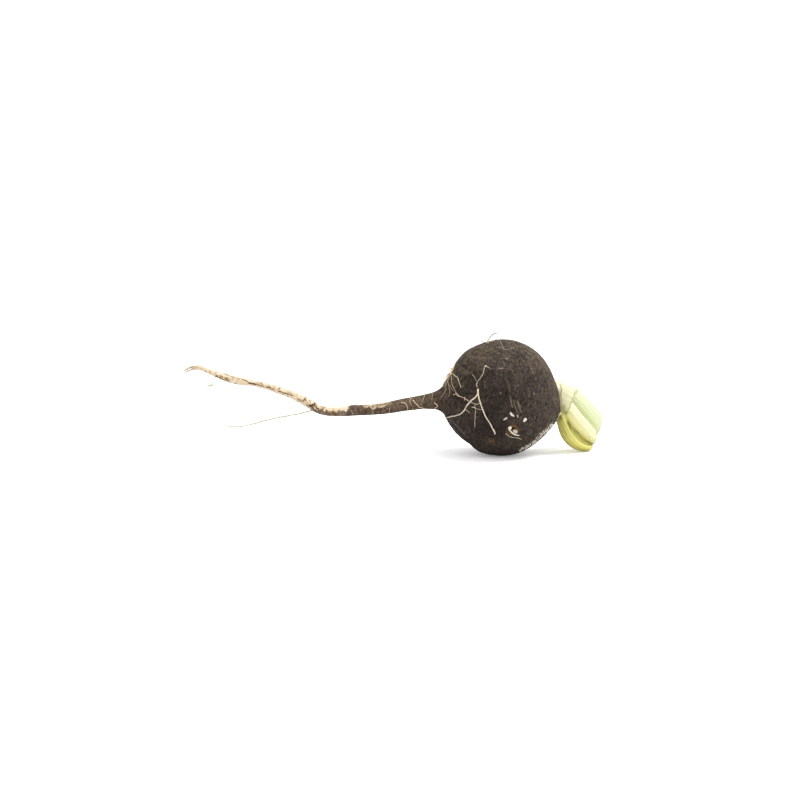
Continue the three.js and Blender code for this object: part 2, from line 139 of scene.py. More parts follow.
def smooth_table(table, position):
    """Reads a table of (position, value) pairs along a smooth curve through them."""
    knots, values = np.array(table, float).T
    rise = np.r_[values[1:], values[-1]] - np.r_[values[0], values[:-1]]
    run = np.r_[knots[1:], knots[-1]] - np.r_[knots[0], knots[:-1]]
    slopes = rise / run
    k = np.clip(np.searchsorted(knots, position) - 1, 0, len(knots) - 2)
    span = knots[k + 1] - knots[k]
    t = np.clip((position - knots[k]) / span, 0, 1)
    slope_in = slopes[k] * span
    slope_out = slopes[k + 1] * span
    change = values[k + 1] - values[k]
    square = 3 * change - 2 * slope_in - slope_out
    cubic = slope_in + slope_out - 2 * change
    return values[k] + t * (slope_in + t * (square + t * cubic))


def catmull_rom(points, steps):
    """Points along the smooth curve through the given ones."""
    p = np.asarray(points, float)
    p = np.vstack([2 * p[0] - p[1], p, 2 * p[-1] - p[-2]])
    t = np.linspace(0, 1, steps, endpoint=False)[:, None]
    spans = []
    for a, b, c, d in zip(p, p[1:], p[2:], p[3:]):
        square = (2 * a - 5 * b + 4 * c - d) * t ** 2
        cubic = (3 * b - a - 3 * c + d) * t ** 3
        spans.append((2 * b + (c - a) * t + square + cubic) / 2)
    return np.vstack([*spans, p[-2:-1]])


def unit(vectors):
    """The same directions with length 1."""
    return vectors / np.linalg.norm(vectors, axis=-1, keepdims=True)


def lengths_along(line):
    """The distance from the line's start to each of its points."""
    return np.r_[0, np.cumsum(np.linalg.norm(np.diff(line, axis=0), axis=1))]


def read_line(positions, rows, where):
    """Rows of a table read between its positions."""
    where = np.asarray(where, float)
    return np.stack([np.interp(where, positions, rows[:, k]) for k in range(rows.shape[1])], -1)


def resample(line, spacing):
    """The same line with points an even distance apart."""
    lengths = lengths_along(line)
    count = max(3, int(round(lengths[-1] / spacing)) + 1)
    return read_line(lengths, line, np.linspace(0, lengths[-1], count))


def circle_points(turn, height=0.0):
    """Points on a circle, for noise that closes on itself."""
    return np.stack([np.cos(turn), np.sin(turn), turn * 0 + height], -1)


def distance_to_line(points, line):
    """The distance of each point to a line of straight stretches."""
    nearest = np.full(len(points), np.inf)
    for a, b in zip(line, line[1:]):
        way = b - a
        t = np.clip((points - a) @ way / (way @ way), 0, 1)
        gap = np.linalg.norm(points - a - t[:, None] * way, axis=1)
        nearest = np.minimum(nearest, gap)
    return nearest


# --- The root's shape ---------------------------------------------------------------------------

def make_spine():
    """Lengths along the centre line, 0 at the globe's middle, and rows for its points."""
    along_crown = [GLOBE_CENTRE + CROWN_AXIS * reach
                   for reach in (CROWN_REACH, CROWN_REACH / 2, 0, -NECK_SIDE)]
    line = catmull_rom(along_crown + [np.array(bend) for bend in TAPROOT_BENDS], 120)
    tangents = unit(np.gradient(line, axis=0))
    upwards = unit(np.array([0, 0, 1]) - tangents * tangents[:, 2:])
    return lengths_along(line) - CROWN_REACH, np.hstack([line, tangents, upwards])


SPINE_LENGTHS, SPINE_ROWS = make_spine()


def spine_at(along):
    """The centre line's point, its direction, and the directions up and to the far side."""
    rows = read_line(SPINE_LENGTHS, SPINE_ROWS, along)
    centre, tangent, upwards = rows[..., :3], unit(rows[..., 3:6]), unit(rows[..., 6:])
    return centre, tangent, upwards, np.cross(tangent, upwards)


def root_radius(along):
    """The root's radius: a ball that runs over into the table."""
    along = np.asarray(along, float)
    ball = np.sqrt(np.maximum(GLOBE_RADIUS ** 2 - along ** 2, 0))
    return np.where(along < GLOBE_ENDS, ball, smooth_table(ROOT_RADII, along))


def shape_globe(points):
    """Moves points near the globe by its swellings and flatter places."""
    offsets = points - GLOBE_CENTRE
    distances = np.linalg.norm(offsets, axis=-1)
    directions = offsets / np.maximum(distances, 1e-6)[..., None]
    height = np.zeros(distances.shape)
    for towards, lobe_height, spread in GLOBE_LOBES:
        turn = math.radians(towards)
        cosine = directions @ np.array([math.cos(turn), 0, math.sin(turn)])
        angle = np.degrees(np.arccos(np.clip(cosine, -1, 1)))
        height += lobe_height * np.exp(-(angle / spread) ** 2)
    fade = 1 - np.clip((distances - LOBES_FADE_FROM) / LOBES_FADE_OVER, 0, 1)
    return points + directions * (height * fade)[..., None]


def around_spine(along, around, reach):
    """A point at a distance from the centre line, turned from the top (0) to the far side (90)."""
    centre, _, upwards, sideways = spine_at(along)
    turn = np.radians(around)
    radial = np.cos(turn)[..., None] * upwards + np.sin(turn)[..., None] * sideways
    return shape_globe(centre + radial * np.asarray(reach)[..., None])


def on_skin(along, around, lift=0.0):
    """Points on the smooth skin, or at a height above it."""
    along, around, lift = np.broadcast_arrays(*(np.asarray(v, float) for v in (along, around, lift)))
    probe = 0.5
    point = around_spine(along, around, root_radius(along))
    ahead = around_spine(along + probe, around, root_radius(along + probe)) - point
    beside = around_spine(along, around + probe, root_radius(along)) - point
    return point + unit(np.cross(beside, ahead)) * lift[..., None]


# --- Meshes -------------------------------------------------------------------------------------

def ring_faces(lower, upper, lower_count, upper_count):
    """Faces between two rings whose counts are equal or one twice the other."""
    faces = []
    if lower_count == upper_count:
        for j in range(lower_count):
            k = (j + 1) % lower_count
            faces.append((lower + j, lower + k, upper + k, upper + j))
        return faces
    flipped = lower_count < upper_count
    fine, coarse = (upper, lower) if flipped else (lower, upper)
    coarse_count = min(lower_count, upper_count)
    for j in range(coarse_count):
        k = (j + 1) % coarse_count
        fine_next = (2 * j + 2) % (2 * coarse_count)
        near = [(fine + 2 * j, fine + 2 * j + 1, coarse + j),
                (fine + 2 * j + 1, coarse + k, coarse + j),
                (fine + 2 * j + 1, fine + fine_next, coarse + k)]
        faces += [face[::-1] for face in near] if flipped else near
    return faces


def stitch_rings(counts):
    """Faces over rings laid one after another, closed by a fan at each end's own middle point."""
    starts = np.r_[0, np.cumsum(counts)].astype(int)
    faces = []
    for i in range(len(counts) - 1):
        faces += ring_faces(int(starts[i]), int(starts[i + 1]), counts[i], counts[i + 1])
    start_middle, end_middle = int(starts[-1]), int(starts[-1]) + 1
    for j in range(counts[0]):
        faces.append((start_middle, (j + 1) % counts[0], j))
    last = int(starts[-2])
    for j in range(counts[-1]):
        faces.append((end_middle, last + j, last + (j + 1) % counts[-1]))
    return faces


def make_piece(name, points, faces, material, nodes=(), floats=None, grain=None):
    """One visible piece from points in millimetres, riding on the root body."""
    mesh = bpy.data.meshes.new(name)
    mesh.from_pydata([tuple(p) for p in np.asarray(points) * MM], [], faces)
    mesh.polygons.foreach_set("use_smooth", [True] * len(mesh.polygons))
    for label, values in (floats or {}).items():
        layer = mesh.attributes.new(label, "FLOAT", "POINT")
        layer.data.foreach_set("value", np.asarray(values, np.float32))
    if grain is not None:
        layer = mesh.attributes.new("grain", "FLOAT_VECTOR", "POINT")
        layer.data.foreach_set("vector", np.asarray(grain, np.float32).ravel())
    mesh.materials.append(material)
    mesh.update()
    piece = bpy.data.objects.new(name, mesh)
    bpy.context.scene.collection.objects.link(piece)
    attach(piece, "root")
    if nodes:
        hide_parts(*nodes)


class Parts:
    """Gathers several closed shapes into the mesh of one piece."""

    def __init__(self):
        self.points = []
        self.faces = []
        self.grain = []
        self.floats = {}
        self.size = 0

    def add(self, points, faces, grain, **floats):
        self.points.append(points)
        self.grain.append(grain)
        self.faces += [tuple(i + self.size for i in face) for face in faces]
        for label, values in floats.items():
            self.floats.setdefault(label, []).append(np.broadcast_to(values, (len(points),)))
        self.size += len(points)

    def piece(self, name, material, slot, nodes=()):
        floats = {label: np.concatenate(values) for label, values in self.floats.items()}
        make_piece(name, np.vstack(self.points), self.faces, material, nodes, floats,
                   np.vstack(self.grain))


# --- Shader nodes -------------------------------------------------------------------------------

def place(tree, kind, values=None, **settings):
    """One shader node with its settings; values are numbers, colours or sockets to link."""
    node = tree.nodes.new(kind)
    for label, value in settings.items():
        setattr(node, label, value)
    for label, value in (values or {}).items():
        socket = node.inputs[label]
        if isinstance(value, bpy.types.NodeSocket):
            tree.links.new(value, socket)
        else:
            socket.default_value = value
    return node


def colour(red, green, blue):
    """An opaque colour for a shader, in linear light."""
    return (red, green, blue, 1.0)


def mix(tree, amount, first, second):
    """Two colours mixed by an amount; 6 and 7 are the node's colour inputs."""
    return place(tree, "ShaderNodeMix", {0: amount, 6: first, 7: second},
                 data_type="RGBA").outputs[2]


def maths(tree, operation, first, second=0.0, third=0.0):
    """A sum, product or the like of numbers and sockets."""
    return place(tree, "ShaderNodeMath", {0: first, 1: second, 2: third},
                 operation=operation).outputs[0]


def between(tree, value, low, high):
    """0 below low, 1 above high."""
    return place(tree, "ShaderNodeMapRange", {"Value": value, "From Min": low, "From Max": high},
                 interpolation_type="SMOOTHSTEP").outputs["Result"]


def read(tree, label, output="Fac"):
    """An attribute of the mesh."""
    return place(tree, "ShaderNodeAttribute", attribute_name=label).outputs[output]


def new_group(name, inputs, outputs):
    """An empty node group with its sockets; inputs and outputs are (name, kind, default)."""
    tree = bpy.data.node_groups.new(name, "ShaderNodeTree")
    for in_out, sockets in (("INPUT", inputs), ("OUTPUT", outputs)):
        for label, kind, default in sockets:
            socket = tree.interface.new_socket(label, in_out=in_out, socket_type="NodeSocket" + kind)
            if default is not None:
                socket.default_value = default
    return tree, place(tree, "NodeGroupInput").outputs, place(tree, "NodeGroupOutput").inputs


def use(tree, group, values):
    """The outputs of a placed copy of a node group with its own values."""
    return place(tree, "ShaderNodeGroup", values, node_tree=group).outputs


def make_mottling():
    """Broad patches and fine clouding of a living skin."""
    tree, given, result = new_group(
        "mottling",
        [("Vector", "Vector", None), ("Patch Size", "Float", 8.0), ("Cloud Size", "Float", 1.5)],
        [("Patches", "Float", None), ("Clouds", "Float", None)])
    for size, label, detail in (("Patch Size", "Patches", 3.0), ("Cloud Size", "Clouds", 5.0)):
        scale = maths(tree, "DIVIDE", 1.0, given[size])
        cloud = place(tree, "ShaderNodeTexNoise", {
            "Vector": given["Vector"], "Scale": scale, "Detail": detail, "Roughness": 0.6})
        tree.links.new(between(tree, cloud.outputs["Fac"], 0.34, 0.66), result[label])
    return tree


def make_specks():
    """Small scattered spots, each of its own size."""
    tree, given, result = new_group(
        "specks",
        [("Vector", "Vector", None), ("Spacing", "Float", 2.0), ("Share", "Float", 0.3)],
        [("Specks", "Float", None)])
    scale = maths(tree, "DIVIDE", 1.0, given["Spacing"])
    cells = place(tree, "ShaderNodeTexVoronoi", {
        "Vector": given["Vector"], "Scale": scale, "Randomness": 1.0})
    chance = place(tree, "ShaderNodeSeparateColor", {"Color": cells.outputs["Color"]})
    kept = maths(tree, "LESS_THAN", chance.outputs["Red"], given["Share"])
    radius = maths(tree, "MULTIPLY_ADD", chance.outputs["Green"], 0.16, 0.07)
    spot = between(tree, maths(tree, "DIVIDE", cells.outputs["Distance"], radius), 1.25, 0.6)
    tree.links.new(maths(tree, "MULTIPLY", kept, spot), result["Specks"])
    return tree


STREAK_DISTORTION = 0.4


def make_streaks():
    """Fine lines, by how long and how wide they are along the two ways of the grain."""
    tree, given, result = new_group(
        "streaks",
        [("Vector", "Vector", None), ("Along", "Float", 1.0), ("Across", "Float", 6.0)],
        [("Streaks", "Float", None)])
    split = place(tree, "ShaderNodeSeparateXYZ", {"Vector": given["Vector"]})
    along = maths(tree, "DIVIDE", split.outputs["X"], given["Along"])
    across = maths(tree, "DIVIDE", split.outputs["Y"], given["Across"])
    depth = maths(tree, "DIVIDE", split.outputs["Z"], given["Across"])
    stretched = place(tree, "ShaderNodeCombineXYZ", {"X": along, "Y": across, "Z": depth})
    lines = place(tree, "ShaderNodeTexNoise", {
        "Vector": stretched.outputs["Vector"], "Scale": 1.0, "Detail": 3.0,
        "Distortion": STREAK_DISTORTION})
    tree.links.new(between(tree, lines.outputs["Fac"], 0.36, 0.64), result["Streaks"])
    return tree


MOTTLING = make_mottling()
SPECKS = make_specks()
STREAKS = make_streaks()


def new_material(name, roughness, specular=0.5, **sockets):
    """A material with its Principled shader, and its node tree."""
    material = bpy.data.materials.new(name)
    material.use_nodes = True
    tree = material.node_tree
    shader = tree.nodes["Principled BSDF"]
    shader.inputs["Roughness"].default_value = roughness
    shader.inputs["Specular IOR Level"].default_value = specular
    for label, value in sockets.items():
        shader.inputs[label.replace("_", " ")].default_value = value
    return material, tree, shader


def bump(tree, shader, height, depth):
    """Fine relief from a height of 0 to 1, depth in millimetres."""
    node = place(tree, "ShaderNodeBump", {"Height": height, "Distance": depth * MM, "Strength": 1.0})
    tree.links.new(node.outputs["Normal"], shader.inputs["Normal"])


# --- Materials ----------------------------------------------------------------------------------

def mottled(tree, grain, patch_size, cloud_size):
    """Patches and clouds of these sizes in millimetres."""
    return use(tree, MOTTLING, {"Vector": grain, "Patch Size": patch_size, "Cloud Size": cloud_size})


def streaked(tree, grain, along, across):
    """Fine lines this long and this far apart."""
    return use(tree, STREAKS, {"Vector": grain, "Along": along, "Across": across})["Streaks"]


def specked(tree, grain, spacing, share):
    """Spots this far apart, of which only a share is there."""
    return use(tree, SPECKS, {"Vector": grain, "Spacing": spacing, "Share": share})["Specks"]


def layered(tree, base, layers):
    """A colour with others laid over it; each layer is a mask, its strength and its colour."""
    for mask, strength, paint in layers:
        amount = mask if strength == 1 else maths(tree, "MULTIPLY", mask, strength)
        base = mix(tree, amount, base, paint)
    return base


def root_skin_material():
    """Black-brown skin, cream where it is worn away, grey-brown where it is corky."""
    material, tree, shader = new_material("root_skin", 0.70, 0.08)
    grain = read(tree, "grain", "Vector")
    fine = mottled(tree, grain, 5.2, 2.3)
    grit = mottled(tree, grain, 2.6, 1.1)
    broad = mottled(tree, grain, 24.0, 9.0)
    rings = streaked(tree, grain, 0.62, 6.5)
    bands = streaked(tree, grain, 2.4, 16.0)
    fibres = streaked(tree, grain, 6.0, 0.6)
    flecks = specked(tree, grain, 1.35, 0.22)
    dust = specked(tree, grain, 0.8, 0.25)
    spots = specked(tree, grain, 3.6, 0.20)
    light_grit = maths(tree, "MULTIPLY", grit["Patches"], grit["Clouds"])
    pits = maths(tree, "MULTIPLY", between(tree, grit["Clouds"], 0.35, 0.0), 0.7)

    black = colour(0.010, 0.0075, 0.0065)
    earth = mix(tree, fine["Clouds"], colour(0.075, 0.046, 0.027), colour(0.18, 0.125, 0.075))
    scurf_and_sheen = mix(tree, dust, colour(0.145, 0.115, 0.075), colour(0.42, 0.35, 0.24))
    globe = layered(tree, black, [
        (between(tree, fine["Clouds"], 0.22, 0.78), 1, colour(0.088, 0.062, 0.047)),
        (fine["Patches"], 0.45, colour(0.090, 0.061, 0.043)),
        (broad["Clouds"], 0.30, colour(0.070, 0.050, 0.036)),
        (broad["Patches"], 0.45, colour(0.040, 0.031, 0.032)),
        (light_grit, 0.62, colour(0.200, 0.158, 0.122)),
        (pits, 1, black),
        (read(tree, "olive"), fine["Patches"], colour(0.105, 0.088, 0.050)),
        (read(tree, "ochre"), 0.8, earth),
        # dark mask: dark blotches of the skin, and broad painted shade over the middle and lower part of
        # the globe's near face
        (read(tree, "dark"), 1, black),
        (rings, 0.50, black),
        (bands, 0.30, colour(0.050, 0.036, 0.030)),
        # scurfy skin at the crown's end, and a painted sheen lightening the top of the globe
        (read(tree, "scurf_and_sheen"), fine["Clouds"], scurf_and_sheen),
        (flecks, 0.42, colour(0.24, 0.19, 0.14)),
        (spots, 0.38, colour(0.26, 0.21, 0.15)),
    ])
    taproot = layered(tree, colour(0.028, 0.016, 0.012), [
        (fibres, 1, colour(0.155, 0.100, 0.072)),
        (fine["Patches"], 0.45, colour(0.130, 0.082, 0.044)),
        (read(tree, "olive"), 0.34, colour(0.205, 0.155, 0.085)),
        (pits, 1, colour(0.020, 0.012, 0.009)),
        (light_grit, 0.55, colour(0.34, 0.26, 0.20)),
    ])
    flesh = layered(tree, colour(0.92, 0.71, 0.49), [
        (fine["Clouds"], 1, colour(1.0, 0.92, 0.74)),
        (fine["Patches"], 0.32, colour(0.80, 0.56, 0.32)),
        (fibres, 0.18, colour(0.40, 0.25, 0.13)),
        (read(tree, "golden"), 1, colour(0.36, 0.22, 0.075)),
        (read(tree, "worn"), fine["Clouds"], colour(0.34, 0.22, 0.11)),
    ])

    bark = mix(tree, read(tree, "tail"), globe, taproot)
    cork = mix(tree, grit["Clouds"], colour(0.045, 0.034, 0.025), colour(0.74, 0.66, 0.54))
    collar = mix(tree, rings, colour(0.82, 0.78, 0.44), colour(0.60, 0.50, 0.24))
    crown = read(tree, "crown")
    crack = read(tree, "crack")
    skin = layered(tree, flesh, [
        (read(tree, "bark"), 1, bark),
        (read(tree, "pale"), 1, colour(0.50, 0.41, 0.29)),
        (read(tree, "torn"), 0.7, colour(0.62, 0.50, 0.36)),
        (read(tree, "corky"), 1, cork),
        (between(tree, crown, 0.25, 0.4), 1, colour(0.16, 0.10, 0.05)),
        (between(tree, crown, 0.45, 0.6), 1, collar),
        (between(tree, crack, 0.0, 0.35), 0.55, colour(0.30, 0.165, 0.065)),
        (between(tree, crack, 0.18, 0.98), 1, colour(0.042, 0.023, 0.010)),
    ])
    tree.links.new(skin, shader.inputs["Base Color"])

    height = maths(tree, "MULTIPLY_ADD", rings, -0.45, fine["Clouds"])
    height = maths(tree, "MULTIPLY_ADD", grit["Clouds"], 0.5, height)
    bump(tree, shader, maths(tree, "MULTIPLY_ADD", flecks, 0.5, height), 0.26)
    gloss = maths(tree, "MULTIPLY_ADD", fine["Clouds"], 0.18, 0.58)
    tree.links.new(gloss, shader.inputs["Roughness"])
    return material


def side_root_material(name, pale, tan, brown):
    """Dry fibrous strands that turn brown in places."""
    material, tree, shader = new_material(name, 0.62, 0.35)
    grain = read(tree, "grain", "Vector")
    fibres = streaked(tree, grain, 3.0, 0.25)
    dry_strand = layered(tree, pale, [
        (mottled(tree, grain, 5.0, 0.8)["Patches"], 1, tan),
        (fibres, 0.22, brown),
        (read(tree, "age"), 0.85, brown),
    ])
    tree.links.new(dry_strand, shader.inputs["Base Color"])
    bump(tree, shader, fibres, 0.08)
    return material


def stalk_material(name, rib, groove, base, blush, shade, lip, stain):
    """Moist ribbed leaf stalk: pale at its base, with a browned cut end."""
    material, tree, shader = new_material(
        name, 0.38, 0.5, Subsurface_Weight=0.22, Subsurface_Scale=0.004)
    shader.inputs["Subsurface Radius"].default_value = (1.0, 0.9, 0.45)
    grain = read(tree, "grain", "Vector")
    flesh = mottled(tree, grain, 7.0, 1.4)
    fibres = streaked(tree, grain, 14.0, 0.55)
    pith = mix(tree, flesh["Clouds"], colour(0.62, 0.60, 0.30), colour(0.86, 0.84, 0.56))
    stalk = layered(tree, groove, [
        (maths(tree, "MULTIPLY_ADD", read(tree, "rib"), 0.6, 0.4), 1, rib),
        (fibres, 0.22, groove),
        (flesh["Patches"], 0.35, blush),
        # foot: the base colour; on the floor stalk a dark olive, painted shade where its foot meets the
        # globe
        (read(tree, "foot"), 1, base),
        # the channel's inner side, in the shade colour: painted shade on the pale, green and heart
        # stalks; a lighter yellow on the floor stalk
        (read(tree, "inside"), 0.6, shade),
        # the channel's lips: paler edges, brightened further as a painted highlight
        (read(tree, "lip"), 0.85, lip),
        # stains and nicks, and painted shade where stalks meet or overlap
        (read(tree, "stain"), 1, stain),
        (specked(tree, grain, 2.6, 0.12), 0.30, colour(0.34, 0.25, 0.07)),
        (read(tree, "cut"), 1, pith),
        (read(tree, "rim"), 0.85, colour(0.14, 0.12, 0.035)),
    ])
    tree.links.new(stalk, shader.inputs["Base Color"])
    bump(tree, shader, maths(tree, "MULTIPLY_ADD", fibres, -0.6, flesh["Clouds"]), 0.10)
    gloss = maths(tree, "MULTIPLY_ADD", flesh["Clouds"], 0.16, 0.30)
    tree.links.new(gloss, shader.inputs["Roughness"])
    return material


def scar_material(name, low, high, grey, edge):
    """Healed or dry patches: chalky, with a brown edge."""
    material, tree, shader = new_material(name, 0.75, 0.25)
    chalk = mottled(tree, read(tree, "grain", "Vector"), 2.2, 0.6)
    scar = layered(tree, low, [
        (chalk["Clouds"], 1, high),
        (chalk["Patches"], 0.3, grey),
        (read(tree, "rim"), 1, edge),
    ])
    tree.links.new(scar, shader.inputs["Base Color"])
    bump(tree, shader, chalk["Clouds"], 0.12)
    return material


ROOT_TONES = {  # pale, tan and brown
    "pale_root": ((0.83, 0.69, 0.50), (0.74, 0.57, 0.37), (0.22, 0.14, 0.09)),
    "pink_root": ((1.0, 0.93, 0.74), (0.95, 0.76, 0.55), (0.24, 0.15, 0.10)),
    "cream_root": ((1.0, 0.97, 0.86), (0.96, 0.89, 0.66), (0.46, 0.34, 0.15)),
    "yellow_root": ((0.98, 0.88, 0.54), (0.84, 0.64, 0.34), (0.36, 0.20, 0.12)),
    "grey_root": ((0.42, 0.36, 0.31), (0.34, 0.28, 0.23), (0.14, 0.11, 0.085)),
    "green_root": ((0.74, 0.74, 0.58), (0.66, 0.64, 0.46), (0.40, 0.38, 0.22)),
}
SCAR_TONES = {  # low and high spots, grey cast and edge
    "scar": ((0.72, 0.64, 0.54), (0.94, 0.91, 0.84), (0.56, 0.49, 0.40), (0.10, 0.065, 0.045)),
    "dull_scar": ((0.46, 0.40, 0.34), (0.74, 0.68, 0.60), (0.36, 0.30, 0.24), (0.08, 0.055, 0.04)),
    "grey_scar": ((0.48, 0.42, 0.34), (0.84, 0.77, 0.68), (0.36, 0.30, 0.14), (0.05, 0.035, 0.025)),
    "cork": ((0.42, 0.35, 0.27), (0.92, 0.86, 0.77), (0.30, 0.24, 0.18), (0.045, 0.032, 0.022)),
    "crown_collar": ((0.86, 0.80, 0.58), (0.96, 0.93, 0.78), (0.74, 0.62, 0.38),
                     (0.22, 0.17, 0.07)),
}
# channel: the painted shade colour of the channel's inner side, darker than the ribs except on the floor
# stalk
STALK_TONES = {  # rib, groove, base, blush, channel, lip and stain
    # the floor stalk's base colour (third) is a dark olive: painted shade where its foot meets the globe
    "stalk_yellow_green": ((0.90, 0.85, 0.26), (0.72, 0.68, 0.15), (0.42, 0.39, 0.09),
                           (0.84, 0.70, 0.20), (0.82, 0.79, 0.38), (0.90, 0.87, 0.40),
                           (0.17, 0.15, 0.03)),
    "stalk_pale": ((0.86, 0.84, 0.60), (0.77, 0.76, 0.42), (0.84, 0.82, 0.50), (0.82, 0.78, 0.50),
                   (0.66, 0.68, 0.28), (0.90, 0.88, 0.60), (0.21, 0.20, 0.012)),
    "stalk_green": ((0.84, 0.88, 0.66), (0.73, 0.80, 0.47), (0.82, 0.83, 0.54), (0.80, 0.84, 0.54),
                    (0.60, 0.68, 0.32), (0.94, 0.96, 0.84), (0.14, 0.16, 0.04)),
    "stalk_heart": ((0.82, 0.82, 0.44), (0.70, 0.72, 0.30), (0.76, 0.74, 0.32), (0.80, 0.74, 0.36),
                    (0.56, 0.60, 0.22), (0.84, 0.84, 0.50), (0.50, 0.48, 0.14)),
}


def make_materials():
    """All the radish's materials by name."""
    materials = {"root_skin": root_skin_material()}
    for make, tones in ((side_root_material, ROOT_TONES), (scar_material, SCAR_TONES),
                        (stalk_material, STALK_TONES)):
        for name, paints in tones.items():
            materials[name] = make(name, *(colour(*paint) for paint in paints))
    return materials


# --- The root's surface -------------------------------------------------------------------------

PIT = (15, -136)  # along, around
CAVITY = (4.0, -117)
CORKY_LINE = [(-28, -121.5), (-25, -125), (-21, -127), (-18.6, -132), (-15.5, -138), (-12, -142.6),
              (-8.6, -145)]
CRACKS = [  # places along and around, half-width, depth
    ([(140, 14), (139.2, -52), (139.4, -92)], 0.50, 0.8),
    ([(139.2, -50), (137.6, -66)], 0.35, 0.5),
    ([(133, 16), (132, -54), (134, -98)], 0.80, 0.8),
    ([(132, -54), (130, -81), (128, -84), (127.4, -100)], 0.45, 0.45),
    ([(133, -98), (131, -112), (129, -130)], 0.50, 0.45),
    ([(159, -96), (155, -97), (152, -94), (148, -84)], 0.30, 0.5),
    ([(159, 6), (158, -30), (158.4, -66)], 0.30, 0.35),
    ([(162, -30), (161.4, -60), (162, -88)], 0.32, 0.4),
    ([(164.6, -80), (167, -92)], 0.45, 0.4),
    ([(172, -24), (170.6, -60), (171, -100)], 0.32, 0.4),
    ([(184.4, -55), (182, -64), (180.8, -73), (179.2, -92)], 0.34, 0.45),
    ([(179.4, -97), (177, -100), (174.8, -100)], 0.62, 0.7),
    ([(174.8, -99), (172, -95), (169, -92)], 0.30, 0.35),
    ([(198.7, -20), (195, -38), (190.5, -50), (186, -60)], 0.25, 0.25),
    ([(202.6, -122), (202.2, -132)], 0.60, 0.45),
    ([(207.9, -84), (207.4, -92)], 0.45, 0.20),
    ([(210.8, -118), (210.2, -130)], 0.60, 0.25),
    ([(189.2, -150), (188.6, -162)], 0.50, 0.40),
    ([(204, -168), (201, -126), (199, -140)], 0.45, 0.4),
    ([(199, -138), (193, -122)], 0.35, 0.3),
    ([(191, -178), (188.5, -140)], 0.5, 0.4),
    ([(124.5, -8), (124, -40), (125.4, -62)], 0.35, 0.3),
    ([(122.4, -76), (121.6, -104)], 0.55, 0.5),
    ([(117.8, -86), (116.6, -120)], 0.5, 0.5),
    ([(113.6, -70), (114.6, -100)], 0.5, 0.45),
    ([(136, 40), (137, 90), (135.6, 150)], 0.45, 0.6),
    ([(149, 60), (150, 120)], 0.35, 0.5),
    ([(156, 175), (166, 150), (178, 120)], 0.35, 0.5),
    ([(184, 40), (192, 80), (200, 130)], 0.3, 0.4),
]
PALE_LINES = [  # places along and around, half-width, strength
    ([(12.1, -64), (10.3, -70), (9.4, -78), (8.8, -84)], 0.24, 0.26),
    ([(8.8, -83), (8.1, -88), (6.9, -92.6)], 0.32, 0.62),
    ([(6.8, -86), (5.4, -91), (4.2, -94), (3.1, -97.4)], 0.26, 0.42),
    ([(4.9, -86), (3.2, -88.4), (1.9, -93), (0.0, -96.6)], 0.30, 0.55),
    ([(3.4, -86), (2.6, -89.6), (1.9, -93)], 0.24, 0.38),
    ([(1.7, -89.6), (1.1, -94)], 0.28, 0.36),
    ([(-8.4, -77.4), (-8.2, -79)], 0.42, 0.6),
    ([(-8.2, -51.6), (-8.5, -52.6)], 0.34, 0.5),
    ([(9.5, -40.8), (9.8, -41.6)], 0.42, 0.8),
    ([(12.2, -40), (11.6, -40.8)], 0.36, 0.6),
    ([(-8, -56), (-8.4, -57)], 0.36, 0.4),
    ([(-10, -62), (-10.2, -63.4)], 0.36, 0.45),
    ([(28.4, 4), (27.2, 1)], 0.50, 0.8),
    ([(38.8, -162), (37.4, -158), (35.4, -158), (32.2, -159), (29, -160)], 0.7, 0.36),
    ([(37.4, -157), (36.6, -157)], 0.5, 0.5),
    ([(93.4, -14), (91.6, -60)], 0.32, 0.45),
    ([(96.8, -16), (94.8, -62)], 0.34, 0.50),
    ([(100.6, -20), (98.4, -66)], 0.32, 0.45),
    ([(103.6, -30), (101.6, -84)], 0.34, 0.50),
    ([(107.4, -40), (105.2, -96), (105.0, -130)], 0.42, 0.70),
    ([(110.6, -112), (112.6, -134)], 0.36, 0.75),
    ([(-4, 70), (2, 84), (3, 98)], 0.4, 0.4),
    ([(12, 110), (8, 118)], 0.4, 0.35),
]
GOLDEN = [  # stains on the bare tail: along, around, half-length, half-turn in degrees, strength
    (118, -96, 3.4, 26, 0.9), (126, -108, 3.0, 22, 0.8), (134, -112, 3.0, 20, 0.8),
    (142, -104, 2.4, 18, 0.7), (151, -70, 2.0, 24, 0.4), (163, -98, 3.0, 20, 0.5),
    (172, -60, 2.4, 30, 0.35), (199.2, -104, 1.6, 26, 0.75), (195, -100, 2.2, 22, 0.75),
    (126, -30, 1.4, 26, 0.5), (120, 60, 4.0, 40, 0.7), (150, 100, 4.0, 40, 0.5),
    (180, 140, 4.0, 50, 0.5), (160, 170, 5.0, 40, 0.6),
]
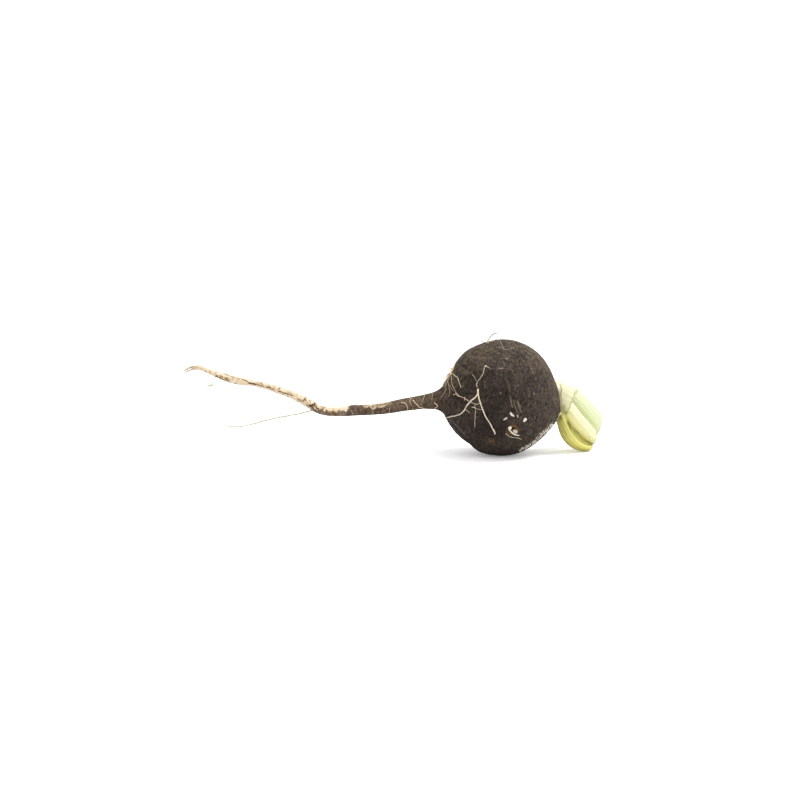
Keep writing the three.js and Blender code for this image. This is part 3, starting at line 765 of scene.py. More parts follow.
PATCHES = {  # along, around, radius in millimetres, strength
    "ochre": [
        (17, -15, 8.0, 0.7), (13, -22, 6.0, 0.55), (21, -30, 6.0, 0.5), (24, -44, 6.0, 0.3),
        (6.8, -108, 2.6, 1.0), (-2, -12, 8.0, 0.35), (-21, -37, 7.0, 0.8), (-28, -58, 6.0, 0.5),
        (6, 60, 10, 0.6), (-17, -16, 9.0, 0.9), (24, -6, 8.0, 0.9), (38, -30, 5.0, 0.7),
        (-6, -46, 6.0, 0.5), (-24, -66, 5.0, 0.45), (16, -140, 5.0, 0.4), (-22, -98, 4.0, 0.35),
        (-12, 140, 9, 0.4),
    ],
    # dark: real dark blotches, and broad patches that are painted shade over the middle and lower part of
    # the globe's near face (around -88 to -124)
    "dark": [
        (8, 95, 20, 0.4), (-10, 150, 16, 0.4), (-1, -40, 3.0, 0.6), (19, -58, 4.5, 0.55),
        (12, -111, 3.6, 0.6), (-4, -118, 3.2, 0.6), (34, -84, 5.0, 0.4), (17, -92, 5.0, 0.4),
        (20, -104, 12, 0.55), (14, -120, 11, 0.6), (25, -124, 10, 0.45), (13, -88, 15, 0.45),
        (14.8, -87, 7, 0.65), (25, -76, 6, 0.4), (11, -66, 6, 0.4), (22, 40, 8, 0.5),
        (0, 120, 9, 0.5), (27, -60, 8.5, 0.42), (36, -78, 7, 0.4), (-8, -64, 8, 0.35),
    ],
    "olive": [
        (4, -66, 6.5, 0.75), (-15, -80, 6.0, 0.6), (-6, -90, 5.0, 0.5), (9, -37, 3.0, 0.5),
        (31, -62, 4.0, 0.45), (24, -106, 4.0, 0.3), (-14, -20, 5.0, 0.7), (-10, 60, 9, 0.7),
        (20, 90, 8, 0.6), (50, -30, 7.0, 0.9), (60, -30, 8.0, 0.9), (70, -30, 7.0, 0.9),
        (78, -24, 6.0, 0.8), (64, 120, 8.0, 0.7),
    ],
}
NECK_BEGINS = (26, 42)  # where along the root the globe turns into the neck
TAIL_TONES = (34, 70)  # and where the taproot's own browns take over
BARK_EDGE = 107.4  # and where the dark bark is torn off
UNDERSIDE_BARK_ENDS = (136, 130)  # and where it ends underneath
CROWN_ENDS = -30  # the crown lies before this place
CROWN_SKIN = (17.5, 14.0)  # distance from the crown's middle at which its own skin starts
BARK_REMNANTS = [  # middle along and around, half-length and half-turn
    ((118, 120), (9, 50)), ((128, 80), (5, 40)), ((141, 165), (6, 50)),
]
WORN_PATCHES = [  # the same, then raggedness, its size, seed and strength
    ((87.5, -26), (9.0, 46), 0.5, 1.9, 9, 1), ((96, 10), (7, 30), 0.6, 2.6, 4, 0.8),
    ((70, 150), (9, 40), 0.7, 3.2, 12, 1),
]
TAPER_SECTIONS = [  # from, to, spacing and number of sides of the rings past the globe
    (30, 34, 0.45, 384), (34, 44, 0.42, 192), (44, 205, 0.56, 96), (205, 227, 0.5, 48),
]
CROWN_SPACING = 0.62  # of the rings over the crown
CROWN_SIDES = 192
GLOBE_RINGS = 128
GLOBE_SIDES = 384
LINE_MARGIN = 6.0  # how far beyond its ends a line can still mark the skin, in millimetres
FAR_AWAY = 99
FINE_CRACKS = 46


def line_mark(points, along, places, half_width, wander=0.0):
    """How near each point is to a line on the skin, from 0 to 1."""
    places = np.array(places, float)
    line = on_skin(*places.T)
    if len(places) > 2:
        line = catmull_rom(line, 6)
    first, last = places[:, 0].min() - LINE_MARGIN, places[:, 0].max() + LINE_MARGIN
    near = (along > first) & (along < last)
    mark = np.zeros(len(points))
    gap = distance_to_line(points[near], line) + wander * noise(points[near], 0.9, 8)
    mark[near] = np.exp(-(np.maximum(gap, 0) / half_width) ** 2)
    return mark


def ragged_patch(along, around, grain, centre, half, rag, size, seed=0):
    """A patch with a torn outline, from 0 to 1."""
    turn = (around - centre[1] + 180) % 360 - 180
    reach = np.hypot((along - centre[0]) / half[0], turn / half[1])
    return step(1.12, 0.88, reach + rag * rough(grain, size, 3, seed))


def bark_cover(along, around, grain):
    """Where the dark bark still covers the root, and where it is worn thin."""
    underside = np.cos(np.radians(around + 150))
    torn = BARK_EDGE + 2.2 * underside + 1.6 * rough(grain, 2.6, 3, 5)
    cover = step(torn + 0.3, torn - 0.3, along)
    low = step(0.44, 0.56, underside + 0.7 * rough(grain, 2.3, 3, 2))
    cover = np.maximum(cover, low * step(*UNDERSIDE_BARK_ENDS, along) * 0.96)
    for seed, (centre, half) in enumerate(BARK_REMNANTS):
        cover = np.maximum(cover, ragged_patch(along, around, grain, centre, half, 0.7, 2.0, seed))
    worn = np.zeros(len(along))
    for *patch, strength in WORN_PATCHES:
        worn = np.maximum(worn, strength * ragged_patch(along, around, grain, *patch))
    thread = step(-0.25, 0.35, noise(grain * (0.3, 1, 1), 0.8, 4) + 0.4 * noise(grain, 0.7, 6))
    return cover * (1 - worn * (0.5 + 0.5 * thread)), worn


def fine_cracks():
    """Short creases across the bare part of the taproot."""
    chance = np.random.default_rng(5)
    cracks = []
    for _ in range(FINE_CRACKS):
        along = chance.uniform(112, 208)
        first = chance.uniform(-180, 180)
        turn = chance.uniform(25, 70)
        places = [(along, first), (along + chance.normal(0, 0.5), first + turn / 2),
                  (along + chance.normal(0, 0.7), first + turn)]
        cracks.append((places, chance.uniform(0.18, 0.28), chance.uniform(0.10, 0.26)))
    return cracks


def crack_marks(points, along):
    """How deep the cracks are, in millimetres, and how dark they look."""
    depths = np.zeros(len(points))
    darkness = np.zeros(len(points))
    for places, half_width, depth in CRACKS + fine_cracks():
        mark = line_mark(points, along, places, half_width, 0.35)
        depths = np.maximum(depths, depth * mark)
        darkness = np.maximum(darkness, min(1, 0.35 + depth) * mark)
    return depths, darkness


def pale_marks(points, along):
    """Thin worn lines, broken along their way."""
    broken = 0.55 + 0.45 * step(-0.3, 0.2, noise(points, 0.9, 5))
    pale = np.zeros(len(points))
    for places, half_width, strength in PALE_LINES:
        mark = strength * line_mark(points, along, places, half_width)
        pale = np.maximum(pale, mark * broken)
    return pale


def golden_stains(along, around, grain):
    """Stains on the bare tail."""
    stains = np.zeros(len(along))
    for middle, turn, half, turn_half, strength in GOLDEN:
        mark = ragged_patch(along, around, grain, (middle, turn), (half, turn_half), 0.6, 1.6)
        stains = np.maximum(stains, strength * mark)
    return stains


def tone_patches(points, patches):
    """Soft patches of one tone."""
    tone = np.zeros(len(points))
    for along, around, radius, strength in patches:
        gap = np.linalg.norm(points - on_skin(along, around), axis=1)
        gap = gap + 0.45 * radius * rough(points, radius * 0.8, 3, 9)
        tone = np.maximum(tone, strength * step(radius * 1.2, radius * 0.4, gap))
    return tone


def corky_ground(points, along):
    """The rough grey-brown ground of the scab under the crown."""
    line = on_skin(*np.array(CORKY_LINE).T)
    gap = distance_to_line(points, line) + 2.2 * rough(points, 2.6, 3, 7)
    gap += 1.2 * step(-14, -9, along) - 2.4 * np.exp(-((along + 19.5) / 3.2) ** 2)
    return step(2.9, 1.9, gap) * (0.25 + 0.75 * step(-0.25, 0.1, noise(points, 1.5, 12)))


def scurf_and_top_sheen(points, along, around):
    """Dry, scurfy skin at the crown's end, and a painted sheen that lightens the upper limbs over the top
    of the globe.
    """
    waves = noise(points, 9, 2)
    wavy = along + 5 * waves
    shoulders = step(40, 34, along) * (0.7 + 0.3 * np.maximum(step(4, -10, wavy), step(15, 24, wavy)))
    # painted sheen: the top of the globe is lightened as if lit on its upper limbs
    top = step(-66, -22, around) * step(150, 100, around) * shoulders
    crown_end = 0.62 * step(-17, -31, along + 4 * waves)
    return np.maximum(crown_end, top) * step(-0.35, 0.35, rough(points, 2.4, 3, 5))


def skin_masks(points, along, around, reach, grain):
    """How strongly each kind of mark shows, from 0 to 1, and the depth of cracks and pits."""
    pit = np.linalg.norm(points - on_skin(*PIT), axis=1)
    cavity = np.linalg.norm(points - on_skin(*CAVITY), axis=1) + 1.4 * noise(points, 3, 6)
    crack_depths, darkness = crack_marks(points, along)
    bark, worn = bark_cover(along, around, grain)
    crown_distance = np.where(along < CROWN_ENDS, reach, FAR_AWAY)
    masks = {
        "bark": bark,
        "worn": worn,
        "torn": 4 * bark * (1 - bark) * step(96, 104, along) * step(150, 130, along),
        "corky": corky_ground(points, along),
        "crown": step(*CROWN_SKIN, crown_distance + 0.8 * noise(points, 2.5, 3)),
        "depth": 0.9 * np.exp(-(pit / 1.4) ** 2) + 1.5 * np.exp(-(cavity / 3.2) ** 4) + crack_depths,
        "crack": np.clip(darkness + 0.9 * np.exp(-(pit / 1.5) ** 2)
                         + 0.85 * np.exp(-(cavity / 3.7) ** 4), 0, 1),
        "pale": pale_marks(points, along),
        "golden": golden_stains(along, around, grain),
        "tail": step(*TAIL_TONES, along),
        "scurf_and_sheen": scurf_and_top_sheen(points, along, around),
    }
    for kind, patches in PATCHES.items():
        masks[kind] = tone_patches(points, patches)
    return masks


def root_stations():
    """Distance along, radius and number of sides of each ring, from the crown to the tail."""
    dome = resample(catmull_rom(CROWN_DOME + [CROWN_SHOULDER], 20), CROWN_SPACING)[:-1]
    stations = [(along, reach, CROWN_SIDES) for along, reach in dome]
    first = math.asin(CROWN_EDGE_RADIUS / GLOBE_RADIUS)
    last = math.acos(-GLOBE_ENDS / GLOBE_RADIUS)
    for turn in np.linspace(first, last, GLOBE_RINGS, endpoint=False):
        along, reach = -GLOBE_RADIUS * math.cos(turn), GLOBE_RADIUS * math.sin(turn)
        stations.append((along, reach, GLOBE_SIDES))
    for start, end, spacing, sides in TAPER_SECTIONS:
        for along in np.arange(start, end, spacing):
            stations.append((along, float(root_radius(along)), sides))
    return stations


def root_relief(points, along, reach, grain, masks):
    """Height of the real surface above the smooth one, in millimetres."""
    full = step(3, 22, reach)
    tail = 1 - full
    relief = full * (0.20 * noise(points, 21, 1) + 0.13 * noise(points, 7, 2))
    relief += full * 0.08 * noise(grain * (1, 0.2, 0.2), 1.2, 3)
    relief += 0.05 * rough(points, 2.0, 2, 4)
    neck = step(*NECK_BEGINS, along) * step(112, 104, along)
    relief += neck * 0.16 * noise(grain * (0.08, 1, 1), 1.5, 5)
    bare = step(0.6, 0.2, masks["bark"]) * tail
    relief += bare * (0.22 * noise(grain, 5.5, 6) + 0.16 * noise(grain, 1.9, 7))
    relief += tail * 0.20 * masks["bark"] * step(60, 100, along)
    relief -= masks["depth"]
    relief += masks["corky"] * (0.30 + 0.60 * ridges(points, 1.5, 8))
    relief += masks["torn"] * 0.18 * tail
    relief += masks["crown"] * 0.25 * ridges(reach[:, None] * (1, 0, 0), 2.4, 2)
    return relief


def root_skin():
    """The whole root: crown, globe, neck and taproot, as one closed surface."""
    stations = root_stations()
    counts = [sides for _, _, sides in stations]
    line = np.array([(along, reach) for along, reach, _ in stations])
    along = np.repeat(line[:, 0], counts)
    reach = np.repeat(line[:, 1], counts)
    slope = unit(np.repeat(np.gradient(line, axis=0), counts, axis=0))
    around = np.concatenate([np.arange(sides) * 360 / sides for sides in counts])
    around = (around + 180) % 360 - 180
    turn = np.radians(around)
    points = around_spine(along, around, reach)
    _, tangent, upwards, sideways = spine_at(along)
    radial = np.cos(turn)[:, None] * upwards + np.sin(turn)[:, None] * sideways
    normals = radial * slope[:, :1] - tangent * slope[:, 1:]
    grain = np.stack([along, reach * np.cos(turn), reach * np.sin(turn)], -1)

    masks = skin_masks(points, along, around, reach, grain)
    relief = root_relief(points, along, reach, grain, masks)
    points = points + normals * relief[:, None]
    points[:, 2] = np.maximum(points[:, 2], 0)

    ends = np.array([points[:counts[0]].mean(0), points[-counts[-1]:].mean(0)])
    points = np.vstack([points, ends])
    grain = np.vstack([grain, [[line[0, 0], 0, 0], [line[-1, 0], 0, 0]]])
    floats = {label: np.r_[values, values[0], values[-1]] for label, values in masks.items()
              if label != "depth"}
    make_piece("root_skin", points, stitch_rings(counts), MATERIALS["root_skin"],
               ["root_body"], floats, grain)


# --- Strands ------------------------------------------------------------------------------------

def tube(points, radii, sides):
    """A closed round strand through the points, with its lengthwise grain."""
    radii = np.asarray(radii)
    tangents = unit(np.gradient(points, axis=0))
    normals = [unit(np.cross(tangents[0], [0.31, 0.77, 0.55]))]
    for tangent in tangents[1:]:
        normals.append(unit(normals[-1] - tangent * (normals[-1] @ tangent)))
    normals = np.array(normals)
    binormals = np.cross(tangents, normals)
    turn = np.arange(sides) * 2 * np.pi / sides
    circle = np.stack([np.cos(turn), np.sin(turn)], -1)
    ring = circle[None, :, :1] * normals[:, None] + circle[None, :, 1:] * binormals[:, None]
    surface = points[:, None] + ring * radii[:, None, None]
    lengths = lengths_along(points)
    grain = np.concatenate([
        np.broadcast_to(lengths[:, None, None], (len(points), sides, 1)),
        np.broadcast_to(circle[None], (len(points), sides, 2)) * radii[:, None, None],
    ], -1)
    first = points[0] - tangents[0] * radii[0] * 0.5
    last = points[-1] + tangents[-1] * radii[-1] * 0.5
    all_points = np.vstack([surface.reshape(-1, 3), first, last])
    all_grain = np.vstack([grain.reshape(-1, 3), [[0, 0, 0], [lengths[-1], 0, 0]]])
    return all_points, stitch_rings([sides] * len(points)), all_grain


def strand(parts, points, thick, thin, crook=0.3, sides=8, seed=0, age=(0.0, 0.3)):
    """Adds one crooked, tapering strand; age is how brown it is at its start and its end."""
    line = resample(catmull_rom(points, 24), max(thick, 0.5) * 0.55)
    share = np.linspace(0, 1, len(line))
    sway = np.stack([noise(line, 2.6, seed + k) for k in (0, 5, 9)], -1)
    hold = step(0, 0.12, share) * 0.7 + 0.3
    line = line + sway * (crook * hold)[:, None]
    radii = (thick + (thin - thick) * share) / 2
    radii = radii * (1 + 0.16 * noise(line, 1.3, seed + 2))
    radii[-1] *= 0.55
    points, faces, grain = tube(line, radii, sides)
    years = np.repeat(age[0] + (age[1] - age[0]) * share, sides)
    years = np.clip(years + 0.3 * noise(grain[:-2], 2.5, seed), 0, 1)
    parts.add(points, faces, grain + (seed * 7.0, 0, 0), age=np.r_[years, age[0], age[1]])


def skin_strand(parts, places, thick, thin, **settings):
    """A strand that lies on the skin, from (along, around) or (along, around, lift) places."""
    points = [on_skin(p[0], p[1], thick * 0.36 + (p[2] if len(p) > 2 else 0)) for p in places]
    strand(parts, points, thick, thin, **settings)


def strands_piece(name, tone, slot, strands, nodes=(), add=skin_strand):
    """One piece made of strands, each with its places, two thicknesses and settings."""
    parts = Parts()
    for places, thick, thin, settings in strands:
        add(parts, places, thick, thin, **settings)
    parts.piece(name, MATERIALS[tone], slot, nodes)


def alike(strands, first_seed, **settings):
    """Strands that share their settings, each with its own age and the next seed."""
    return [(places, thick, thin, dict(seed=first_seed + k, age=age, **settings))
            for k, (places, thick, thin, age) in enumerate(strands)]


NECK_STEM = (35.6, 1)
NECK_BUNDLE = [  # places on the skin, thickness at the start and the end, and age there
    ([NECK_STEM, (36, -6), (35.4, -26), (34.4, -39), (34.4, -50), (34, -62)], 0.52, 0.46, (0, 0.0)),
    ([NECK_STEM, (36.5, -6), (37.3, -24), (37.8, -42), (37.2, -61), (36.9, -71)], 0.42, 0.42,
     (0.2, 0.65)),
    ([NECK_STEM, (38, 2), (39.4, -14), (39.7, -36), (39.9, -58), (40.9, -72)], 0.34, 0.30,
     (0.45, 0.6)),
    ([NECK_STEM, (38.4, -2), (40.6, -16), (41.4, -38), (41.5, -64)], 0.34, 0.26, (0.45, 0.7)),
    ([NECK_STEM, (38.6, -8), (39.5, -24), (38.9, -46), (37.9, -61)], 0.30, 0.26, (0.3, 0.65)),
    ([NECK_STEM, (38, 8), (41, -10), (42, -40), (43.8, -56), (45.2, -69)], 0.32, 0.28, (0.45, 0.5)),
    ([NECK_STEM, (36.0, 12), (37.4, 24, 0.5), (39.6, 34, 0.5), (41.4, 20, 0.2), (42, -14)], 0.4, 0.3,
     (0.3, 0.6)),
    ([NECK_STEM, (36.0, 10), (36.4, 20, 0.6), (37.6, 32, 1.0)], 0.6, 0.3, (0.3, 0.5)),
    ([NECK_STEM, (37, 10), (39, 24), (41, 36), (44, 46)], 0.6, 0.3, (0.3, 0.5)),
]
SKIN_ROOTS = {  # tone, then the strands on the skin
    "side_root_fork": ("pink_root", [
        ([(25.9, -72.6), (26.0, -74), (26.3, -79)], 1.15, 1.15,
         dict(seed=1, crook=0.08, age=(0.0, 0.0))),
        ([(26.2, -78), (27.8, -82.6), (30.5, -87.8), (32.2, -94), (33.4, -102), (35, -111.5),
          (36.7, -121), (39, -139), (40.1, -172)], 1.0, 0.66, dict(seed=6, age=(0.0, 0.0), crook=0.2)),
        ([(26.2, -78), (25.8, -86.5), (24.2, -97.5), (22.2, -107), (18.2, -116), (15.2, -122.6)],
         0.90, 0.72, dict(seed=2, age=(0, 0.1), crook=0.22)),
        ([(16.4, -119.6), (14.9, -122.6), (14.2, -125.2)], 0.90, 0.80,
         dict(seed=7, crook=0.1, age=(0, 0.2))),
        ([(30.8, -88), (28.9, -91), (27.4, -92), (25.7, -90)], 0.42, 0.36,
         dict(seed=3, age=(0.35, 0.4), crook=0.15)),
        ([(29, -97), (27, -98), (24.6, -98)], 0.36, 0.32, dict(seed=8, age=(0.5, 0.7))),
        ([(36.9, -68), (35.8, -76), (34.1, -80.4), (32.6, -84), (31, -88)], 0.5, 0.6,
         dict(seed=4, age=(0.7, 0.45), crook=0.15)),
        ([(28.4, -93), (28.3, -101), (28.4, -109), (28.5, -116), (28, -122), (27.9, -128)],
         0.42, 0.45, dict(seed=5, age=(0.35, 0.55), crook=0.4)),
        ([(30, -96), (28.5, -96.6), (28.2, -98)], 0.65, 0.5,
         dict(seed=9, age=(0.3, 0.4), crook=0.1)),
        ([(33.4, -102), (32.4, -104), (31.4, -107.4)], 0.45, 0.3, dict(seed=10, age=(0.3, 0.6))),
    ]),
    "side_root_upper": ("pink_root", [
        ([(26.2, -70), (26.3, -66.4), (25.9, -64)], 0.65, 0.75,
         dict(seed=11, age=(0.7, 0.6), crook=0.08)),
        ([(26, -65), (24.4, -61), (22.3, -56), (21.2, -50.4), (20.1, -47)], 0.42, 0.42,
         dict(seed=12, age=(0.6, 0.35), crook=0.2)),
        ([(20.6, -47.8), (20.0, -46.8), (19.4, -48.6)], 0.85, 0.8,
         dict(seed=14, crook=0.05, age=(0.3, 0.3))),
        ([(19.8, -48), (19.1, -50), (17.9, -51.4)], 0.4, 0.3, dict(seed=15, age=(0.5, 0.7))),
        ([(25.9, -62.4), (26.7, -55), (27.5, -48)], 0.32, 0.26,
         dict(seed=16, age=(0.6, 0.75), crook=0.15)),
    ]),
    "side_root_neck": ("yellow_root", [
        ([(32.6, 30, 0.2), (34.0, 14, 0.3), (35, 2, 0.3), (36.2, -3)], 1.35, 1.0,
         dict(seed=21, age=(0.25, 0.0), crook=0.2)),
        ([(34.4, -4, 0.2), (33.1, -1, 0.5), (31.6, 3, 0.8)], 0.6, 0.4,
         dict(seed=20, age=(0.3, 0.4), crook=0.1)),
        ([(33.4, 3, -0.2), (34.8, 0, -0.2), (36.6, -6, -0.3)], 1.5, 0.9,
         dict(seed=38, age=(0.1, 0.2), crook=0.1)),
        *alike(NECK_BUNDLE, 22, crook=0.22),
        ([(38.4, -71), (36.8, -71), (36.3, -76), (34.9, -78.4)], 0.55, 0.5,
         dict(seed=36, age=(0.5, 0.5), crook=0.12)),
        ([(33.0, -80.6), (33.2, -83), (33.4, -86)], 0.5, 0.4,
         dict(seed=37, age=(0.4, 0.5), crook=0.1)),
    ]),
    "side_root_top": ("pale_root", [
        ([(14.6, -8), (12.6, 3, 0.6), (10.0, 8, 2.6), (7.4, 9, 4.0), (4.6, 9, 4.6)], 1.0, 0.6,
         dict(seed=31, age=(0.95, 0.8))),
        ([(14.8, -4), (13, -6, 0.4), (11.4, -7, 1.0)], 0.6, 0.35, dict(seed=32, age=(0.8, 0.6))),
        ([(14.6, -2), (15.2, 5, 0.8), (15.2, 12, 1.4)], 0.5, 0.3, dict(seed=33, age=(0.7, 0.8))),
    ]),
    "side_root_shoulder": ("grey_root", [
        ([(7.4, 8), (8.0, -4), (8.3, -13), (8.9, -20), (9.1, -26)], 0.50, 0.50,
         dict(seed=41, age=(0.0, 0.2), crook=0.2)),
        ([(9.8, -25.4), (9.2, -28), (6.6, -28.6), (4.2, -26.4), (1.2, -24.6)], 0.50, 0.40,
         dict(seed=42, age=(0.25, 0.4), crook=0.15)),
        ([(12.8, -22.6), (11, -22.8), (9.6, -25.6)], 0.42, 0.46,
         dict(seed=43, age=(0.7, 0.4), crook=0.12)),
        ([(15, -53), (13.6, -53.2), (12.3, -53)], 0.36, 0.80,
         dict(seed=44, crook=0.08, age=(0.4, 0.0))),
    ]),
    "side_root_curled": ("cream_root", [
        ([(6.4, -112.8, 0.2), (5.8, -113.6, 0.4), (5.2, -114.4, 0.4)], 2.2, 2.1,
         dict(seed=51, age=(0, 0), crook=0.05, sides=12)),
        ([(6.6, -113.6, 0.5), (6.3, -115, 0.6), (5.2, -116.6, 0.6), (3.6, -118.5, 0.5),
          (1.6, -120.3, 0.4), (-0.6, -121.3, 0.2), (-1.9, -121.3, 0.1)], 0.9, 0.75,
         dict(seed=52, age=(0, 0.0), crook=0.05)),
        ([(7.3, -121.2), (6.0, -122.6), (4.4, -123.8), (1.6, -124.8), (-1, -125), (-3.4, -126),
          (-4.8, -127.2)], 0.34, 0.26, dict(seed=53, age=(0.1, 0.55), crook=0.10)),
    ]),
}
HANGING_ROOTS = {  # the same, with points in space
    "side_root_trailing": ("green_root", [
        ([on_skin(131, 180, -0.2), (-138, -17.5, 30.8), (-153, -18, 28.2), (-168, -17.5, 24.4),
          (-180, -17, 21.6), (-189, -16, 22.4)], 1.10, 0.90,
         dict(crook=0.25, seed=61, age=(0.0, 0.10))),
    ]),
    "side_root_tip": ("green_root", [
        ([on_skin(203, -150, -0.2), (-197, -12, 52), (-198.2, -13, 50)], 0.55, 0.55,
         dict(seed=71, age=(0.2, 0.2), crook=0.2)),
        ([(-197.6, -13, 50.1), (-199.4, -13.1, 49.4), (-201.2, -13.3, 50.2)], 1.5, 0.9,
         dict(crook=0.1, seed=72, age=(0.1, 0.3))),
    ]),
}
ROOT_HAIRS = [  # places on the skin, thickness at the start and the end, and age there
    ([(49, 8), (49.2, -10), (50, -44), (51, -77)], 0.40, 0.32, (0.3, 0.5)),
    ([(54.6, 6), (55, -20), (56.4, -60), (57.4, -84), (59, -108)], 0.46, 0.36, (0.2, 0.4)),
    ([(63.4, -56), (62.9, -64)], 0.95, 0.75, (0.0, 0.0)),
    ([(63.0, -60), (62.0, -82), (60.6, -104), (58.8, -130), (54, -153)], 0.60, 0.50, (0.0, 0.1)),
    ([(59.4, -126), (61, -132), (62.6, -137)], 0.45, 0.35, (0.5, 0.7)),
    ([(64, 4), (64, -21), (65.4, -52), (65.2, -84), (63.8, -142)], 0.50, 0.42, (0.3, 0.5)),
    ([(71.4, -58), (70.4, -62)], 0.75, 0.6, (0.05, 0.1)),
    ([(71.2, -60), (69.4, -66), (68.2, -84), (67.8, -110), (68.2, -160)], 0.60, 0.45, (0.05, 0.2)),
    ([(80, -90), (79.8, -100), (80.6, -130), (80, -160)], 0.45, 0.35, (0.3, 0.4)),
    ([(91, -90), (91.4, -120), (91, -152)], 0.45, 0.4, (0.3, 0.4)),
    ([(49.6, -95), (48.9, -101)], 0.8, 0.6, (0.0, 0.0)),
    ([(49.4, -98), (48.2, -107), (47.2, -115.5), (48.3, -132), (49.4, -150)], 0.60, 0.50, (0.0, 0.1)),
    ([(57, 40), (58, 80), (60, 120)], 0.45, 0.35, (0.3, 0.5)),
    ([(66, 60), (68, 100), (67, 150)], 0.45, 0.35, (0.2, 0.5)),
    ([(84, 50), (85, 95), (87, 130)], 0.40, 0.30, (0.2, 0.4)),
    ([(52, 30), (50, 60), (48, 96), (50, 130)], 0.55, 0.35, (0.1, 0.4)),
    ([(30, 60), (26, 76), (24, 92), (26, 104), (22, 118)], 0.75, 0.45, (0.2, 0.5)),
    ([(25, 86), (20, 84), (16, 90)], 0.55, 0.35, (0.4, 0.6)),
]
TAIL_END = spine_at(np.array(209.0))[0]
FRAYED_TIP = [  # the fine strands that the tail ends in
    ([TAIL_END, (-209.5, -9.0, 60.6), (-213.5, -8.6, 59.4), (-217, -8.5, 57.4)], 1.7, 0.5,
     dict(crook=0.3, seed=141, age=(0.0, 0.45))),
    ([TAIL_END, (-209.2, -11.2, 62.2), (-212, -12, 62.1), (-214.4, -12.6, 61),
      (-214.8, -12.4, 60), (-213.8, -11.5, 59.4)], 1.3, 0.55,
     dict(crook=0.2, seed=142, age=(0.2, 0.5))),
    ([(-212, -9.6, 61.4), (-214.6, -9.2, 60.6), (-216, -9.6, 59.2)], 0.7, 0.35,
     dict(crook=0.3, seed=143, age=(0.3, 0.6))),
]
CROWN_FLAKE = [  # a curled cream flake between the globe and the foot of the floor stalk
    ([(40.4, -6.6, 29.6), (39.3, -6.9, 29.1), (38.3, -6.9, 27.8), (37.7, -6.7, 26.0),
      (37.1, -6.3, 24.0)], 1.1, 0.6, dict(crook=0.1, seed=151, sides=10, age=(0.0, 0.0))),
]


# --- Healed scars -------------------------------------------------------------------------------

SCARS = {  # tone, first seed and pads: along, around, half-length, half-width, turn, height, bend
    "healed_scars": ("scar", 0, [(6.3, -99.9, 2.8, 0.85, 37, 0.50, 0.14),
                                 (-3.4, -104.6, 1.9, 1.25, -58, 0.50, 0.0)]),
    "dull_scars": ("dull_scar", 1, [(10.1, -105.2, 2.2, 0.82, -46, 0.35, 0.0),
                                    (2.3, -101.2, 1.4, 0.40, 64, 0.22, 0.0)]),
    "grey_scar": ("grey_scar", 6, [(1.6, -117.4, 2.4, 1.5, 30, 0.70, 0.0)]),
}
SCAR_RINGS = 8
SCAR_SIDES = 30
SCAR_BOTTOM = -0.4  # height of the middle of a pad's underside
SCAB_CRUMBS = 64


def scar_pad(parts, along, around, half_length, half_width, turn, height, bend, seed):
    """A low healed pad that follows the skin, thickest at its middle."""
    share = np.repeat(np.linspace(1, 0.12, SCAR_RINGS), SCAR_SIDES)
    angle = np.tile(np.arange(SCAR_SIDES) * 2 * np.pi / SCAR_SIDES, SCAR_RINGS)
    wobble = 1 + 0.16 * noise(circle_points(angle), 0.8, seed)
    x = half_length * share * wobble * np.cos(angle)
    y = half_width * share * wobble * np.sin(angle) + bend * (x * x - half_length ** 2 / 3)
    tilt = math.radians(turn)
    x, y = x * math.cos(tilt) - y * math.sin(tilt), x * math.sin(tilt) + y * math.cos(tilt)
    reach = float(root_radius(along))
    lift = height * (1 - share ** 3) - 0.25 * share ** 6
    lift = lift + 0.14 * noise(np.stack([x, y, x * 0], -1), 0.8, seed + 3) * (1 - share)
    points = np.vstack([on_skin(along + x, around + np.degrees(y / reach), lift),
                        on_skin(along, around, SCAR_BOTTOM), on_skin(along, around, height)])
    grain = np.vstack([np.stack([x, y, lift], -1), [[0, 0, SCAR_BOTTOM], [0, 0, height]]])
    rim = np.r_[step(0.78, 1.0, share), 1, 0]
    parts.add(points, stitch_rings([SCAR_SIDES] * SCAR_RINGS), grain + (seed * 5.0, 0, 0), rim=rim)


def healed_scars():
    """The pale, dull and grey pads on the face of the globe."""
    for name, (tone, first_seed, pads) in SCARS.items():
        parts = Parts()
        for seed, pad in enumerate(pads, first_seed):
            scar_pad(parts, *pad, seed)
        parts.piece(name, MATERIALS[tone], "root_skin")


def corky_scab():
    """Loose grey-brown flakes along the scab under the crown."""
    parts = Parts()
    chance = np.random.default_rng(3)
    places = np.array(CORKY_LINE, float)
    for seed in range(SCAB_CRUMBS):
        t = chance.uniform(0, len(places) - 1.001)
        k = int(t)
        along, around = places[k] + (places[k + 1] - places[k]) * (t - k)
        along, around = along + chance.normal(0, 1.1), around + chance.normal(0, 2.4)
        size = chance.uniform(0.45, 1.05)
        scar_pad(parts, along, around, size * chance.uniform(0.9, 1.6), size * 0.7,
                 chance.uniform(0, 180), chance.uniform(0.6, 1.35), 0, seed + 20)
    parts.piece("corky_scab", MATERIALS["cork"], "root_skin")


# --- Leaf stalks --------------------------------------------------------------------------------

